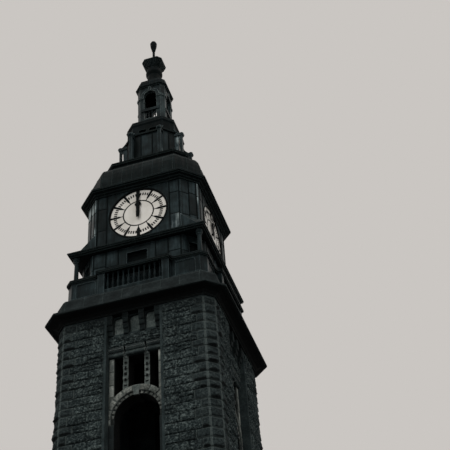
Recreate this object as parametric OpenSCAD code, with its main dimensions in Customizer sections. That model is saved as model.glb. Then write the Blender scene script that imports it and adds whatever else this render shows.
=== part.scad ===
// Clock tower: a bossed stone shaft with an arched bay on each face, a balustraded gallery,
// a sheet-clad clock stage with four dials, an attic, a drum with scroll brackets and a small open lantern.
// Millimetres, +Z up, origin at the centre of the foot on the ground, front face towards -Y.

/* [Shaft] */
// Half the width of the stone shaft
shaft_half = 2690; // [2600:10:2760]
// Chamfer of the shaft's corners, measured along each face
shaft_chamfer = 300; // [240:10:340]
// Thickness of the shaft walls
shaft_wall = 830; // [760:10:860]
// Height of the shaft's top above the ground
shaft_top = 19640; // [19500:10:20200]
// Height of the plinth
plinth_h = 900; // [700:50:1100]
// How far the plinth stands out
plinth_out = 150; // [100:10:200]
// Thickness of the ground floor
floor_t = 150; // [120:10:250]
// Half the width of the foot door
door_half = 600; // [550:10:640]
// Height of the foot door's head
door_top = 2900; // [2600:10:3100]
// Depth of the foot door behind the shaft's face
door_set = 260; // [200:10:320]
// Thickness of the foot door
door_t = 70; // [50:5:90]

/* [Bays] */
// Half the width of the recessed bay
bay_half = 905; // [880:5:930]
// Depth of the recessed bay
bay_depth = 170; // [140:5:200]
// Depth of the window stones behind the shaft's face
stone_set = 290; // [260:5:320]
// Half the width of the arched opening
arch_half = 736; // [700:4:760]
// Height of the upper arch's centre
arch_z = 16000; // [15900:10:16060]
// Thickness of the arch ring at its crown
arch_ring = 305; // [260:5:340]
// Height of the straight foot of the arch stones under the arch's centre
arch_stilt = 210; // [160:10:260]
// Width of the arch's inner order
order_w = 100; // [85:5:115]
// Depth of the inner order behind the face of the arch
order_set = 52; // [40:2:70]
// Half the width of the keystone
key_half = 86; // [70:2:100]
// Drop of the keystone under the arch's crown
key_drop = 53; // [40:1:65]
// How far the keystone stands out from the arch
key_out = 24; // [16:2:32]
// Height of the upper opening's sill
sill_z = 12560; // [12400:10:12800]
// Height of a sill stone
sill_h = 200; // [160:10:240]
// Underside of the window lintel
lintel_z = 18145; // [18100:5:18200]
// Height of the window lintel
lintel_h = 330; // [300:5:350]
// Width of a notch in the lintel's mouldings
notch_w = 76; // [60:2:90]
// Half the width of the middle light
light_half = 271; // [255:2:285]
// Width of a mullion
mullion_w = 170; // [160:1:190]
// Depth of the sunk stretches on a mullion's face
sunk_t = 26; // [20:1:32]
// Height of the corbels' foot
corbel_z = 18900; // [18860:10:18960]
// Width of a corbel
corbel_w = 178; // [160:2:190]
// Distance of an inner corbel's middle from the bay's middle
corbel_x = 274; // [262:2:286]
// Depth of the niches between the corbels
niche_depth = 90; // [60:5:120]
// Height of a niche's foot over the corbels' foot
niche_rise = 60; // [40:5:80]
// Height of the wall left over a niche
niche_head = 24; // [20:2:40]
// Radius of a niche's upper corners
niche_r = 110; // [80:5:130]
// Height of the lower arch's centre
low_arch_z = 9300; // [9100:10:9600]
// Height of the lower opening's sill
low_sill_z = 6400; // [6200:10:6600]

/* [Main cornice and parapet] */
// Overhang of the main cornice from the shaft's face
cornice_out = 461; // [430:1:480]
// Chamfer of the main cornice's corners
cornice_chamfer = 551; // [520:1:580]
// Height of the main cornice's fascia above the shaft's top
cornice_rise = 200; // [180:5:220]
// Height of the fascia
cornice_fascia = 65; // [55:5:80]
// Height of the sloped base over the fascia
base_rise = 690; // [660:5:720]
// How far the parapet's base stands out from the shaft's face
base_out = 56; // [40:2:70]
// Chamfer of the parapet's base
base_chamfer = 340; // [320:5:360]
// Set-back of the parapet's corner sections from the edge of its base
corner_in = 246; // [230:2:260]
// Chamfer of the parapet's corner sections
corner_chamfer = 200; // [180:5:220]
// Thickness of the parapet's corner sections
corner_t = 150; // [130:5:160]
// Half the width across the parapet's middle section
mid_half = 1266; // [1240:2:1290]
// Set-back of the parapet's piers from the edge of its base
pier_in = 46; // [36:2:56]
// Width of a parapet pier
pier_w = 238; // [220:2:250]
// Height of the parapet without its coping
parapet_h = 875; // [850:5:900]
// Height of the parapet's bottom rail
rail_h = 210; // [180:5:240]
// How far the bottom rail stands out at the corners
rail_out = 24; // [16:1:32]
// Set-back of the bottom rail between the piers
rail_in = 50; // [40:2:60]
// Half the width of a sunk panel in the parapet's corners
panel_half = 348; // [330:2:360]
// Height of a sunk panel
panel_h = 590; // [560:5:610]
// Depth of a sunk panel
panel_t = 28; // [20:1:34]
// Radius of a sunk panel's upper corners
panel_r = 90; // [70:5:110]
// Height of the coping
coping_h = 130; // [110:5:150]
// Overhang of the coping
coping_out = 64; // [54:2:74]
// Radius of the coping's hollow turn beside the middle section
turn_r = 140; // [120:5:160]
// Number of balusters on a side
baluster_n = 11; // [9:1:12]
// Largest radius of a baluster
baluster_r = 52; // [46:1:56]

/* [Gallery] */
// Gap between the parapet's back and the gallery core
core_gap = 55; // [45:1:65]
// Chamfer of the gallery core
core_chamfer = 628; // [600:2:650]
// Wall thickness of the gallery core
core_t = 200; // [180:5:220]
// Height of the gallery core
core_h = 2110; // [2080:5:2140]
// Half the width of a gallery window
win_half = 375; // [350:5:390]
// Half the width of a window in the core's chamfers
slim_half = 195; // [180:5:210]
// Height of the gallery windows
win_h = 1060; // [1000:10:1100]
// Height of the wall left over a gallery window
win_head = 250; // [230:5:270]
// Set-back of the window frames from the core's face
frame_set = 139; // [120:1:150]
// Width of a window frame's members
frame_w = 75; // [64:1:85]
// Thickness of a window frame
frame_t = 48; // [40:2:52]
// Thickness of a window pane
pane_t = 16; // [12:1:20]
// Distance of each gallery column from the core's face, inwards
column_in = 33; // [24:1:42]
// Radius of a gallery column
column_r = 82; // [76:1:88]
// Overhang of the square gallery cornice from the core's face
square_out = 238; // [224:1:250]
// Height of the square gallery cornice
square_h = 300; // [280:5:320]

/* [Clock stage] */
// Set-back of the clock stage from the gallery core's face
clock_in = 137; // [125:1:150]
// Chamfer of the clock stage
clock_chamfer = 511; // [490:1:530]
// Wall thickness of the clock stage and the attic
clad_t = 140; // [120:5:160]
// Height of the clock stage's walls
clock_h = 2490; // [2470:5:2510]
// Height of the corner skirts
broach_h = 740; // [700:5:770]
// Reach of the corner skirts from the wall's corner face
broach_run = 520; // [490:5:540]
// How far the corner skirts stand out from the walls' flat faces
broach_out = 45; // [35:1:55]
// Gap between the dial's rim and the clock cornice
dial_drop = 2; // [1:0.5:6]
// Gap between the dial's rim and the gallery cornice
dial_foot = 198; // [180:2:220]
// Width of the dial's rim
rim_w = 76; // [60:1:80]
// How far the dial's rim stands out from the wall
rim_out = 24; // [16:1:30]
// Depth of the dial behind the wall's face
dial_set = 28; // [24:1:36]
// Thickness of a dial
dial_t = 30; // [24:1:36]
// Radius of the dial's inner ring, as a share of the dial's
ring_share = 0.538; // [0.51:0.002:0.56]
// Width of the dial's inner ring
ring_w = 44; // [34:1:50]
// Width of the dial's hour bars at the rim
bar_w = 92; // [80:1:100]
// Width of the bars at 12 and 6
bar_wide = 128; // [110:1:134]
// How far the dial's markings stand out
mark_t = 5; // [3:0.5:6]
// Distance of the hour hand from the dial
hand_stand = 36; // [30:1:42]
// Gap between the hour hand and the minute hand
hand_gap = 22; // [14:1:26]
// Thickness of a hand
hand_t = 12; // [10:0.5:14]
// Length of a minute hand, as a share of the dial's radius
minute_share = 0.921; // [0.88:0.001:0.935]
// Length of an hour hand, as a share of the dial's radius
hour_share = 0.538; // [0.51:0.002:0.56]
// Length of a minute hand's tail, as a share of the dial's radius
tail_share = 0.228; // [0.19:0.002:0.245]
// Width of a minute hand
minute_w = 128; // [118:1:136]
// Width of an hour hand
hour_w = 120; // [110:1:130]
// Half the width across the hour hand's arms
arm_half = 125; // [110:1:136]
// Radius of a hand's hub
hub_r = 72; // [66:1:80]
// Radius of the minute hand's arbor
arbor_r = 22; // [18:0.5:24]
// Radius of the hour hand's pipe
pipe_r = 40; // [36:0.5:44]
// Running clearance of the arbor and of the pipe
run_gap = 0.5; // [0.3:0.1:0.8]
// Overhang of the clock cornice
ccorn_out = 299; // [280:1:310]
// Chamfer of the clock cornice
ccorn_chamfer = 748; // [730:1:766]
// Height of the clock cornice
ccorn_h = 275; // [260:5:290]

/* [Roofs and drum] */
// Set-back of the skirt roof's top from the clock cornice's edge
skirt_in = 392; // [375:1:405]
// Swell of the skirt roof over its top
skirt_swell = 201; // [190:1:215]
// Chamfer of the skirt roof's top
skirt_chamfer = 634; // [620:1:650]
// Chamfer of the skirt roof's foot
skirt_foot_chamfer = 800; // [780:1:815]
// Height of the skirt roof
skirt_h = 1170; // [1140:5:1200]
// Half the width of the attic block
attic_half = 1520; // [1500:5:1540]
// Overhang of the attic cornice
attic_out = 186; // [174:1:196]
// Chamfer of the attic block
attic_chamfer = 402; // [390:1:414]
// Chamfer of the attic cornice
acorn_chamfer = 462; // [450:1:474]
// Height of the attic with its cornice
attic_h = 745; // [720:5:760]
// Half the width of the drum
drum_half = 1020; // [1005:1:1035]
// Chamfer of the drum
drum_chamfer = 375; // [360:1:390]
// Wall thickness of the drum
drum_t = 110; // [90:5:130]
// Height of the drum under its moulding
drum_h = 1870; // [1840:5:1900]
// Height of the moulding under the frieze
bead_h = 110; // [100:2:120]
// How far that moulding stands out
bead_out = 70; // [60:1:80]
// Height of the drum's frieze with its moulding
frieze_h = 650; // [630:5:670]
// Distance of a frieze slit's middle from the face's middle
slit_x = 220; // [205:1:235]
// Half the width of a frieze slit
slit_half = 150; // [135:1:160]
// Height of a frieze slit
slit_h = 215; // [200:5:230]
// Height of the blocking course over the frieze
block_h = 235; // [215:5:250]
// How far the drum's cornice stands out
dcorn_out = 28; // [20:1:34]
// Height from the blocking course to the lantern's foot
slope_h = 345; // [330:5:360]
// Sideways place of the scroll brackets
bracket_u = 604; // [590:1:620]
// Distance of a bracket's scroll from the drum's face
bracket_out = 300; // [285:1:315]
// Thickness of a bracket
bracket_t = 134; // [120:2:144]
// Depth of a bracket's post
bracket_d = 84; // [74:1:90]
// Radius of a bracket's scroll
scroll_r = 95; // [86:1:100]
// How far the scroll's roll stands out on each side of the bracket
roll_out = 26; // [16:1:32]
// Height of the scroll's middle under the drum's moulding
scroll_drop = 125; // [118:1:135]

/* [Lantern and finial] */
// Half the width of the lantern
lantern_half = 607; // [590:1:620]
// Chamfer of the lantern's corners
lantern_chamfer = 150; // [130:1:160]
// Wall thickness of the lantern
lantern_t = 120; // [100:1:140]
// Height of the lantern's walls
lantern_h = 2080; // [2060:5:2100]
// How far the lantern's foot stands out
foot_out = 60; // [50:1:70]
// Height of the lantern's sill over its foot
sill_rise = 160; // [140:5:180]
// Half the width of a lantern opening
lantern_open = 275; // [255:1:285]
// Height of the wall over the springing of a lantern arch
spring_drop = 515; // [500:5:530]
// Width of the band round a lantern arch
band_w = 130; // [110:1:140]
// How far that band stands out
band_out = 30; // [22:1:36]
// Width of a lantern keystone
lkey_w = 90; // [80:1:100]
// How far a lantern keystone stands out
lkey_out = 50; // [42:1:58]
// Height of the impost bands
impost_h = 102; // [90:1:110]
// How far the impost bands stand out
impost_out = 38; // [32:1:44]
// Distance of the impost bands' top under the springing
impost_drop = 39; // [30:1:48]
// Half the length of a lantern rail
lrail_half = 400; // [380:1:410]
// Height of a lantern rail
lrail_h = 143; // [120:1:160]
// How far a lantern rail stands out from the wall
lrail_out = 38; // [30:1:44]
// Depth of a lantern rail inside the opening
lrail_in = 70; // [60:1:80]
// Height of a lantern baluster
lbal_h = 439; // [420:1:455]
// Radius of a lantern baluster
lbal_r = 28; // [24:1:32]
// Distance between lantern balusters
lbal_pitch = 140; // [130:1:146]
// Overhang of the lantern's cornice
lcorn_out = 95; // [86:1:104]
// Chamfer of the lantern's cornice
lcorn_chamfer = 230; // [220:1:240]
// Height of the lantern's roof
lroof_h = 640; // [620:5:660]
// Half the width of the lantern roof's top
roof_top_half = 390; // [380:1:400]
// Chamfer of the lantern roof's top
roof_top_chamfer = 160; // [150:1:200]
// Radius of the neck over the lantern's roof
neck_r = 300; // [280:1:315]
// Height of the neck
neck_h = 1155; // [1130:5:1180]
// Half the width of the top slab
cap_half = 462; // [450:1:474]
// Chamfer of the top slab
cap_chamfer = 170; // [160:1:180]
// Height of the top slab
cap_h = 415; // [400:5:430]
// Number of ribs round the bell under the top slab
rib_n = 32; // [24:4:40]
// Width of a rib
rib_w = 24; // [18:1:30]
// How far the ribs stand out
rib_out = 13; // [8:1:16]
// Radius of the finial's rod
rod_r = 56; // [50:1:62]
// Length of the finial's rod
rod_h = 1010; // [980:5:1040]
// Radius of the finial's knob
knob_r = 154; // [145:1:165]
// Height of the finial's knob
knob_h = 594; // [570:2:620]

/* [Hidden] */
$fn = 48;

stone = "#4c5454";
trim = "#8a877e";
clad = "#2f3638";
dark = "#1f2426";
cream = "#d6d1c8";
black = "#15181a";

// Joint between two solids that would otherwise share a slanted face, and the wider one at a curved face
seat_gap = 0.3;
joint_gap = 0.8;

inner_half = shaft_half - shaft_wall;
bay_y = shaft_half - bay_depth;
stone_y = shaft_half - stone_set;
stone_t = stone_y - inner_half;
cornice_half = shaft_half + cornice_out;
base_half = shaft_half + base_out;
corner_half = base_half - corner_in;
pier_face = base_half - pier_in;
core_half = corner_half - corner_t - core_gap;
column_at = core_half - column_in;
square_half = core_half + square_out;
clock_half = core_half - clock_in;
ccorn_half = clock_half + ccorn_out;
skirt_half = ccorn_half - skirt_in;

corn_z = shaft_top + cornice_rise;
base_z = corn_z + cornice_fascia + base_rise;
coping_z = base_z + parapet_h;
column_z = coping_z + coping_h;
core_top = base_z + core_h;
clock_z = core_top + square_h;
clock_top = clock_z + clock_h;
dial_r = (clock_h - dial_drop - dial_foot) / 2 - rim_w;
dial_z = clock_top - dial_drop - rim_w - dial_r;
ring_r = ring_share * dial_r;
minute_len = minute_share * dial_r;
hour_len = hour_share * dial_r;
tail_len = tail_share * dial_r;
skirt_z = clock_top + ccorn_h;
attic_z = skirt_z + skirt_h;
drum_z = attic_z + attic_h;
frieze_z = drum_z + drum_h;
block_z = frieze_z + frieze_h;
slope_z = block_z + block_h;
lantern_z = slope_z + slope_h;
lroof_z = lantern_z + lantern_h;
neck_z = lroof_z + lroof_h;
cap_z = neck_z + neck_h;
rod_z = cap_z + cap_h;
knob_z = rod_z + rod_h;

dial_y = clock_half - dial_set;
hour_y = dial_y + hand_stand;
minute_y = hour_y + hand_t + hand_gap;
deck_t = 200;
post_out = 50;
post_in = column_at - column_r - post_out;
pitch = 2 * (mid_half - pier_w) / baluster_n;
far = 9000;

// Sunk stretches of a mullion, as shares of its height from the top
sunk_spans = [[0.055, 0.283], [0.388, 0.63], [0.75, 0.905]];

// Profiles: shares of the overhang and of the height, going up
cornice_profile = [[0, 0], [0.1, 0], [0.1, 0.23], [0.17, 0.27], [0.28, 0.5], [0.56, 0.67], [0.91, 0.73],
                   [0.91, 0.755], [1, 0.755], [1, 1]];
base_profile = [[0.9, 0.036], [0.405, 0.181], [0.338, 0.297], [0.205, 0.594], [0.131, 0.88], [0.035, 0.949],
                [0, 1]];
square_profile = [[0.37, 0], [0.63, 0.033], [0.63, 0.2], [0.87, 0.233], [0.87, 0.4], [1, 0.433], [1, 0.583],
                  [0.83, 0.633], [-0.24, 1]];
ccorn_profile = [[0, 0], [0.17, 0], [0.17, 0.19], [0.43, 0.28], [0.43, 0.44], [0.8, 0.55], [0.8, 0.67],
                 [1, 0.73], [1, 1]];
skirt_profile = [[1, 0], [0.98, 0.25], [0.92, 0.44], [0.746, 0.662], [0.423, 0.872], [0.174, 0.94], [0, 1]];
attic_profile = [[0, 0], [0, 0.624], [0.41, 0.665], [0.41, 0.73], [0.89, 0.8], [0.89, 0.85], [1, 0.88],
                 [1, 0.94], [0.68, 1]];
bead_profile = [[0, 0], [1, 0.18], [1, 0.82], [-0.14, 1]];
dcorn_profile = [[-0.36, 0.9], [0.79, 1]];
block_profile = [[1, 0.13], [0.79, 0.23], [0.07, 0.3], [0.07, 0.83], [0, 0.84]];
slope_profile = [[0.83, 0], [0.66, 0.17], [0.52, 0.46], [0.17, 0.58], [0, 0.7], [0, 1]];
lroof_profile = [[0.86, 0.03], [0.86, 0.09], [1, 0.15], [1, 0.21], [0.83, 0.26], [0.8, 0.54], [0.66, 0.79],
                 [0.03, 0.94], [0, 1]];
cap_profile = [[0, 0], [0.24, 0.145], [0.64, 0.458], [0.874, 0.723], [1, 0.75], [1, 0.89], [0.93, 0.93],
               [0.2, 1]];

// Number of that profile's rows which the bell's ribs follow
ribbed_rows = 4;

// Turned profiles: shares of the radius and of the height, going up
baluster_profile = [[0.96, 0], [0.96, 0.08], [0.6, 0.12], [0.72, 0.17], [1, 0.28], [0.94, 0.38], [0.66, 0.52],
                    [0.46, 0.68], [0.44, 0.82], [0.62, 0.87], [0.62, 0.91], [0.9, 0.93], [0.9, 1]];
column_profile = [[1.49, 0], [1.49, 0.045], [1.15, 0.072], [1, 0.1], [0.9, 0.83], [1.22, 0.845], [1.05, 0.865],
                  [1.55, 0.93], [1.55, 1]];
lbal_profile = [[1, 0], [1, 0.1], [0.6, 0.16], [1, 0.34], [0.55, 0.7], [0.55, 0.85], [1, 0.92], [1, 1]];
neck_profile = [[1.2, 0], [1.083, 0.095], [1.007, 0.242], [0.987, 0.554], [1.1, 0.606], [1.217, 0.684],
                [1.217, 0.753], [1.15, 0.831], [1.1, 0.918], [0.957, 0.961], [0.957, 1]];
rod_profile = [[1.7, 0], [1, 0.06], [1, 0.92], [1.45, 0.94], [1.45, 0.98], [1.1, 1]];
knob_profile = [[0.56, 0], [0.62, 0.047], [0.82, 0.267], [0.94, 0.495], [1, 0.723], [0.74, 0.896], [0.1, 1]];

// The children on each of the four sides, the first one at the front
module four() {
  for (a = [0, 90, 180, 270])
    rotate([0, 0, a])
      children();
}

// The children on one side, by its place: 0 front, 1 right, 2 back, 3 left
module side(i) {
  rotate([0, 0, 90 * i])
    children();
}

// The children and their mirror image in the middle plane of the front
module pair() {
  children();
  mirror([1, 0, 0])
    children();
}

// A square with cut corners: half width a, chamfer c along each side
module oct2d(a, c) {
  polygon([[-a, -a + c], [-a + c, -a], [a - c, -a], [a, -a + c], [a, a - c], [a - c, a], [-a + c, a], [-a, a - c]]);
}

// A prism on that plan from z0 to z1
module oct(a, c, z0, z1) {
  translate([0, 0, z0])
    linear_extrude(z1 - z0)
      oct2d(a, c);
}

// A block from one corner to the other
module block(p, q) {
  translate(p)
    cube(q - p);
}

// Mirrored profile of [half width, height] pairs, drawn upright and run along Y
module run(pts, len) {
  rotate([90, 0, 0])
    linear_extrude(2 * len, center = true)
      polygon(concat(pts, [for (i = [len(pts) - 1:-1:0]) [-pts[i][0], pts[i][1]]]));
}

// A moulded stack on the chamfered plan, from rows of [half width, chamfer, height] going up
module stack(rows) {
  flat = [for (r = rows) [r[0], r[2]]];
  slant = [for (r = rows) [(2 * r[0] - r[1]) / sqrt(2), r[2]]];
  intersection() {
    run(flat, far);
    rotate([0, 0, 90])
      run(flat, far);
    rotate([0, 0, 45])
      run(slant, far);
    rotate([0, 0, -45])
      run(slant, far);
  }
}

// A moulded stack on a square plan, from rows of [half width, height] going up
module square_stack(rows) {
  intersection() {
    run(rows, far);
    rotate([0, 0, 90])
      run(rows, far);
  }
}

// A flat shape drawn in the plane across the front, its left outwards, and t wide
module rib2d(t) {
  rotate([90, 0, 90])
    linear_extrude(t, center = true)
      children();
}

// The same from a profile of [depth from the axis, height] points
module rib(pts, t) {
  rib2d(t)
    polygon([for (p = pts) [-p[0], p[1]]]);
}

// The arched opening's outline: half width h, springing line s, foot f
module arch2d(h, s, f) {
  translate([0, s])
    intersection() {
      circle(h, $fn = 96);
      translate([-h, 0])
        square([2 * h, h]);
    }
  translate([-h, f])
    square([2 * h, s - f]);
}

// An upright prism on that outline between depths y0 and y1, counted outwards from the axis
module arch_prism(h, s, f, y0, y1) {
  translate([0, -y0, 0])
    rotate([90, 0, 0])
      linear_extrude(y1 - y0)
        arch2d(h, s, f);
}

// The chamfer of a chamfered square that lies d outside one with the chamfer c
function grow(c, d) = c + d * (2 - sqrt(2));

// Rows of [half width, chamfer, height] between the rows low and high, at shares of the overhang and of the height
function moulding(low, high, shares) = [for (s = shares) [low[0] + (high[0] - low[0]) * s[0],
                                                          low[1] + (high[1] - low[1]) * s[0],
                                                          low[2] + (high[2] - low[2]) * s[1]]];

module plinth() {
  color(stone)
    difference() {
      oct(shaft_half + plinth_out, grow(shaft_chamfer, plinth_out), 0, plinth_h);
      block([-inner_half, -inner_half, floor_t], [inner_half, inner_half, plinth_h + 1]);
      block([-door_half, -far, floor_t], [door_half, 0, plinth_h + 1]);
    }
}

module wall_plain() {
  block([-inner_half, -shaft_half, plinth_h], [inner_half, -inner_half, shaft_top]);
}

module bay_cuts() {
  block([-bay_half, -shaft_half - 1, sill_z - sill_h], [bay_half, -bay_y, shaft_top + 1]);
  block([-bay_half, -shaft_half - 1, sill_z - sill_h], [bay_half, -inner_half + 1, lintel_z + lintel_h]);
  for (k = [-1, 0, 1])
    niche(k);
  arch_prism(bay_half, low_arch_z, low_sill_z - sill_h, inner_half - 1, shaft_half + 1);
}

// Outline of a sunk panel with rounded upper corners, w half its width, its foot's middle at the origin
module panel2d(w, h, r) {
  translate([-w, 0])
    square([2 * w, h - r]);
  translate([-w + r, 0])
    square([2 * (w - r), h]);
  for (x = [-1, 1])
    translate([x * (w - r), h - r])
      circle(r);
}

// One niche between the corbels: 0 the middle one, 1 and -1 the outer ones
module niche(k) {
  inner = corbel_x - corbel_w / 2;
  outer = bay_half - corbel_x - 1.5 * corbel_w;
  foot = corbel_z + niche_rise;
  translate([k * (corbel_x + (corbel_w + outer) / 2), -bay_y + niche_depth, foot])
    rotate([90, 0, 0])
      linear_extrude(niche_depth + 1)
        panel2d(k == 0 ? inner : outer / 2, shaft_top - niche_head - foot, niche_r);
}

module shaft_walls() {
  color(stone) {
    difference() {
      wall_plain();
      bay_cuts();
      block([-door_half, -far, 0], [door_half, 0, door_top]);
    }
    for (i = [1:3])
      side(i)
        difference() {
          wall_plain();
          bay_cuts();
        }
  }
}

module corner_piers() {
  color(stone)
    four()
      translate([0, 0, plinth_h])
        linear_extrude(shaft_top - plinth_h)
          polygon([[inner_half, -inner_half], [inner_half, -shaft_half], [shaft_half - shaft_chamfer, -shaft_half],
                   [shaft_half, -shaft_half + shaft_chamfer], [shaft_half, -inner_half]]);
}

// What the upper arch's ring takes out of the stones beside and over it
module ring_seat() {
  arch_prism(arch_half + arch_ring + joint_gap, arch_z, arch_z - arch_stilt, inner_half - 1, shaft_half);
}

module window_jambs() {
  color(trim)
    four()
      pair()
        difference() {
          block([arch_half, -stone_y, sill_z], [bay_half, -inner_half, lintel_z]);
          ring_seat();
        }
}

// An arch ring from its outline h wide, in two orders, the inner one set back
module arch_ring(h, s, f) {
  difference() {
    intersection() {
      arch_prism(h, s, f, inner_half, stone_y);
      block([-bay_half, -stone_y, 0], [bay_half, -inner_half, shaft_top]);
    }
    arch_prism(arch_half, s, f - 1, inner_half - 1, stone_y + 1);
    arch_prism(arch_half + order_w, s, f - 1, stone_y - order_set, stone_y + 1);
  }
}

module window_arches() {
  color(trim)
    four() {
      arch_ring(arch_half + arch_ring, arch_z, arch_z - arch_stilt);
      block([-key_half, -stone_y - key_out, arch_z + arch_half - key_drop],
            [key_half, -inner_half, arch_z + arch_half + arch_ring - key_out]);
      arch_ring(bay_half, low_arch_z, low_sill_z);
    }
}

module window_mullions() {
  h = lintel_z - arch_z - arch_half - arch_ring;
  color(trim)
    four()
      pair()
        difference() {
          block([light_half, -stone_y, arch_z], [light_half + mullion_w, -inner_half, lintel_z]);
          ring_seat();
          for (s = sunk_spans)
            block([light_half - 1, -stone_y - 1, lintel_z - s[1] * h],
                  [light_half + mullion_w + 1, -stone_y + sunk_t, lintel_z - s[0] * h]);
        }
}

// The lintel's face: two rolls with a hollow between, as an outline in depth and height
module lintel_face2d() {
  r = lintel_h / 5;
  out = stone_y + r / 2;
  for (z = [lintel_z + r, lintel_z + 3.7 * r])
    translate([-out, z])
      circle(r);
  translate([-out, lintel_z])
    square([out - inner_half, lintel_h]);
  translate([-bay_y, lintel_z + 4 * r])
    square([bay_y - inner_half, r]);
}

module window_lintels() {
  cuts = [light_half + mullion_w / 2 - notch_w / 2, light_half + mullion_w / 2 + notch_w / 2];
  color(trim)
    four()
      difference() {
        rib2d(2 * bay_half)
          lintel_face2d();
        pair()
          block([cuts[0], -shaft_half, lintel_z - 1], [cuts[1], -stone_y, lintel_z + lintel_h + 1]);
      }
}

module window_sills() {
  color(trim)
    four()
      for (z = [sill_z, low_sill_z])
        block([-bay_half, -shaft_half, z - sill_h], [bay_half, -inner_half, z]);
}

// One corbel of three rounded steps under a flat head, its middle at x
module corbel(x) {
  n = 4;
  h = (shaft_top - corbel_z) / n;
  d = (bay_depth - seat_gap) / (n - 1);
  translate([x, -bay_y - seat_gap, corbel_z])
    rib2d(corbel_w)
      intersection() {
        for (i = [0:n - 1]) {
          out = d * min(i + 1, n - 1);
          translate([-out + d, i * h + d])
            circle(d);
          translate([-out, i * h + d])
            square([out, h - d]);
          translate([-out + d, i * h])
            square([out - d, h]);
        }
        translate([-bay_depth, 0])
          square([bay_depth, n * h]);
      }
}

module wall_corbels() {
  color(trim)
    four()
      pair() {
        corbel(corbel_x);
        corbel(bay_half - corbel_w / 2);
      }
}

module foot_door() {
  y = shaft_half - door_set;
  color(dark)
    block([-door_half, -y, floor_t], [door_half, -y + door_t, door_top]);
}

module main_cornice() {
  edge = [cornice_half, cornice_chamfer];
  color(dark)
    difference() {
      stack(concat(moulding([shaft_half, shaft_chamfer, shaft_top], concat(edge, corn_z + cornice_fascia),
                            cornice_profile),
                   moulding([base_half, base_chamfer, corn_z + cornice_fascia], concat(edge, base_z),
                            base_profile)));
      block([-inner_half, -inner_half, shaft_top - 1], [inner_half, inner_half, base_z]);
      oct(core_half - core_t, grow(core_chamfer, -core_t), base_z - deck_t, base_z + 1);
    }
}

module gallery_floor() {
  color(dark)
    oct(core_half - core_t - seat_gap, grow(core_chamfer, -core_t), base_z - deck_t, base_z);
}

// What is open behind the parapet, with the posts under the columns left standing
module parapet_inside(z0, z1) {
  difference() {
    oct(corner_half - corner_t, corner_chamfer, z0, z1);
    four()
      block([post_in, -far, z0 - 1], [far, -post_in, z1 + 1]);
  }
}

module parapet_corners() {
  x = (mid_half + corner_half - corner_chamfer) / 2;
  color(clad)
    intersection() {
      difference() {
        union() {
          oct(corner_half, corner_chamfer, base_z, coping_z);
          oct(corner_half + rail_out, grow(corner_chamfer, rail_out), base_z, base_z + rail_h);
        }
        parapet_inside(base_z - 1, coping_z + 1);
        four()
          pair()
            translate([x, -corner_half + panel_t, base_z + rail_h])
              rotate([90, 0, 0])
                linear_extrude(panel_t + 1)
                  panel2d(panel_half, panel_h, panel_r);
      }
      four()
        block([mid_half, -far, base_z], [far, -mid_half, coping_z]);
    }
}

module parapet_piers() {
  back = corner_half - corner_t;
  color(clad)
    four() {
      pair()
        block([mid_half - pier_w, -pier_face, base_z], [mid_half, -back, coping_z]);
      block([-mid_half + pier_w - 1, -pier_face + rail_in, base_z], [mid_half - pier_w + 1, -back, base_z + rail_h]);
    }
}

// A turned solid from a profile of shares, r at its widest and h high
module turned(profile, r, h) {
  rotate_extrude()
    polygon(concat([[0, 0]], [for (p = profile) [p[0] * r, p[1] * h]], [[0, h]]));
}

module balusters() {
  color(clad)
    four()
      for (i = [0:baluster_n - 1])
        translate([-mid_half + pier_w + pitch * (i + 0.5), -pier_face + rail_in + baluster_r + 2, base_z + rail_h])
          turned(baluster_profile, baluster_r, parapet_h - rail_h, $fn = 20);
}

// One layer of the coping, o beyond the parapet's faces, with hollow turns beside the middle section
module coping_layer(o, z0, z1) {
  x = mid_half + o;
  y = corner_half + o;
  oct(y, grow(corner_chamfer, o / 2), z0, z1);
  four() {
    block([-x, -pier_face - o, z0], [x, 0, z1]);
    pair()
      difference() {
        block([x - 1, -y - turn_r, z0], [x + turn_r, -y + 1, z1]);
        translate([x + turn_r, -y - turn_r, z0 - 1])
          cylinder(z1 - z0 + 2, turn_r, turn_r);
      }
  }
}

module parapet_coping() {
  color(clad)
    difference() {
      union() {
        coping_layer(coping_out / 2, coping_z, coping_z + coping_h / 2);
        coping_layer(coping_out, coping_z + coping_h / 3, column_z);
      }
      parapet_inside(coping_z - 1, column_z + 1);
    }
}

// The children at every window of the gallery: 0 in the flat faces, 1 in the chamfers
module gallery_openings(slim) {
  four()
    rotate([0, 0, 45 * slim])
      children();
}

module gallery_walls() {
  color(clad)
    difference() {
      oct(core_half, core_chamfer, base_z, core_top);
      oct(core_half - core_t, grow(core_chamfer, -core_t), base_z - 1, core_top + 1);
      for (slim = [0, 1])
        gallery_openings(slim) {
          w = slim == 0 ? win_half : slim_half;
          block([-w, -far, core_top - win_head - win_h], [w, 0, core_top - win_head]);
        }
    }
}

// One window with its frame and pane in an opening 2 w wide, the frame's face at depth q
module window_unit(w, q) {
  z0 = core_top - win_head - win_h;
  z1 = core_top - win_head;
  s = (frame_t - pane_t) / 2;
  difference() {
    block([-w + seat_gap, -q, z0 + seat_gap], [w - seat_gap, -q + frame_t, z1 - seat_gap]);
    block([-w + frame_w, -q - 1, z0 + frame_w], [w - frame_w, -q + s, z1 - frame_w]);
    block([-w + frame_w, -q + frame_t - s, z0 + frame_w], [w - frame_w, -q + frame_t + 1, z1 - frame_w]);
  }
}

module gallery_windows() {
  color(dark) {
    gallery_openings(0)
      window_unit(win_half, core_half - frame_set);
    gallery_openings(1)
      window_unit(slim_half, (2 * core_half - core_chamfer) / sqrt(2) - frame_set);
  }
}

module gallery_columns() {
  color(clad)
    four()
      translate([column_at, -column_at, column_z])
        turned(column_profile, column_r, core_top - column_z, $fn = 36);
}

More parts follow.
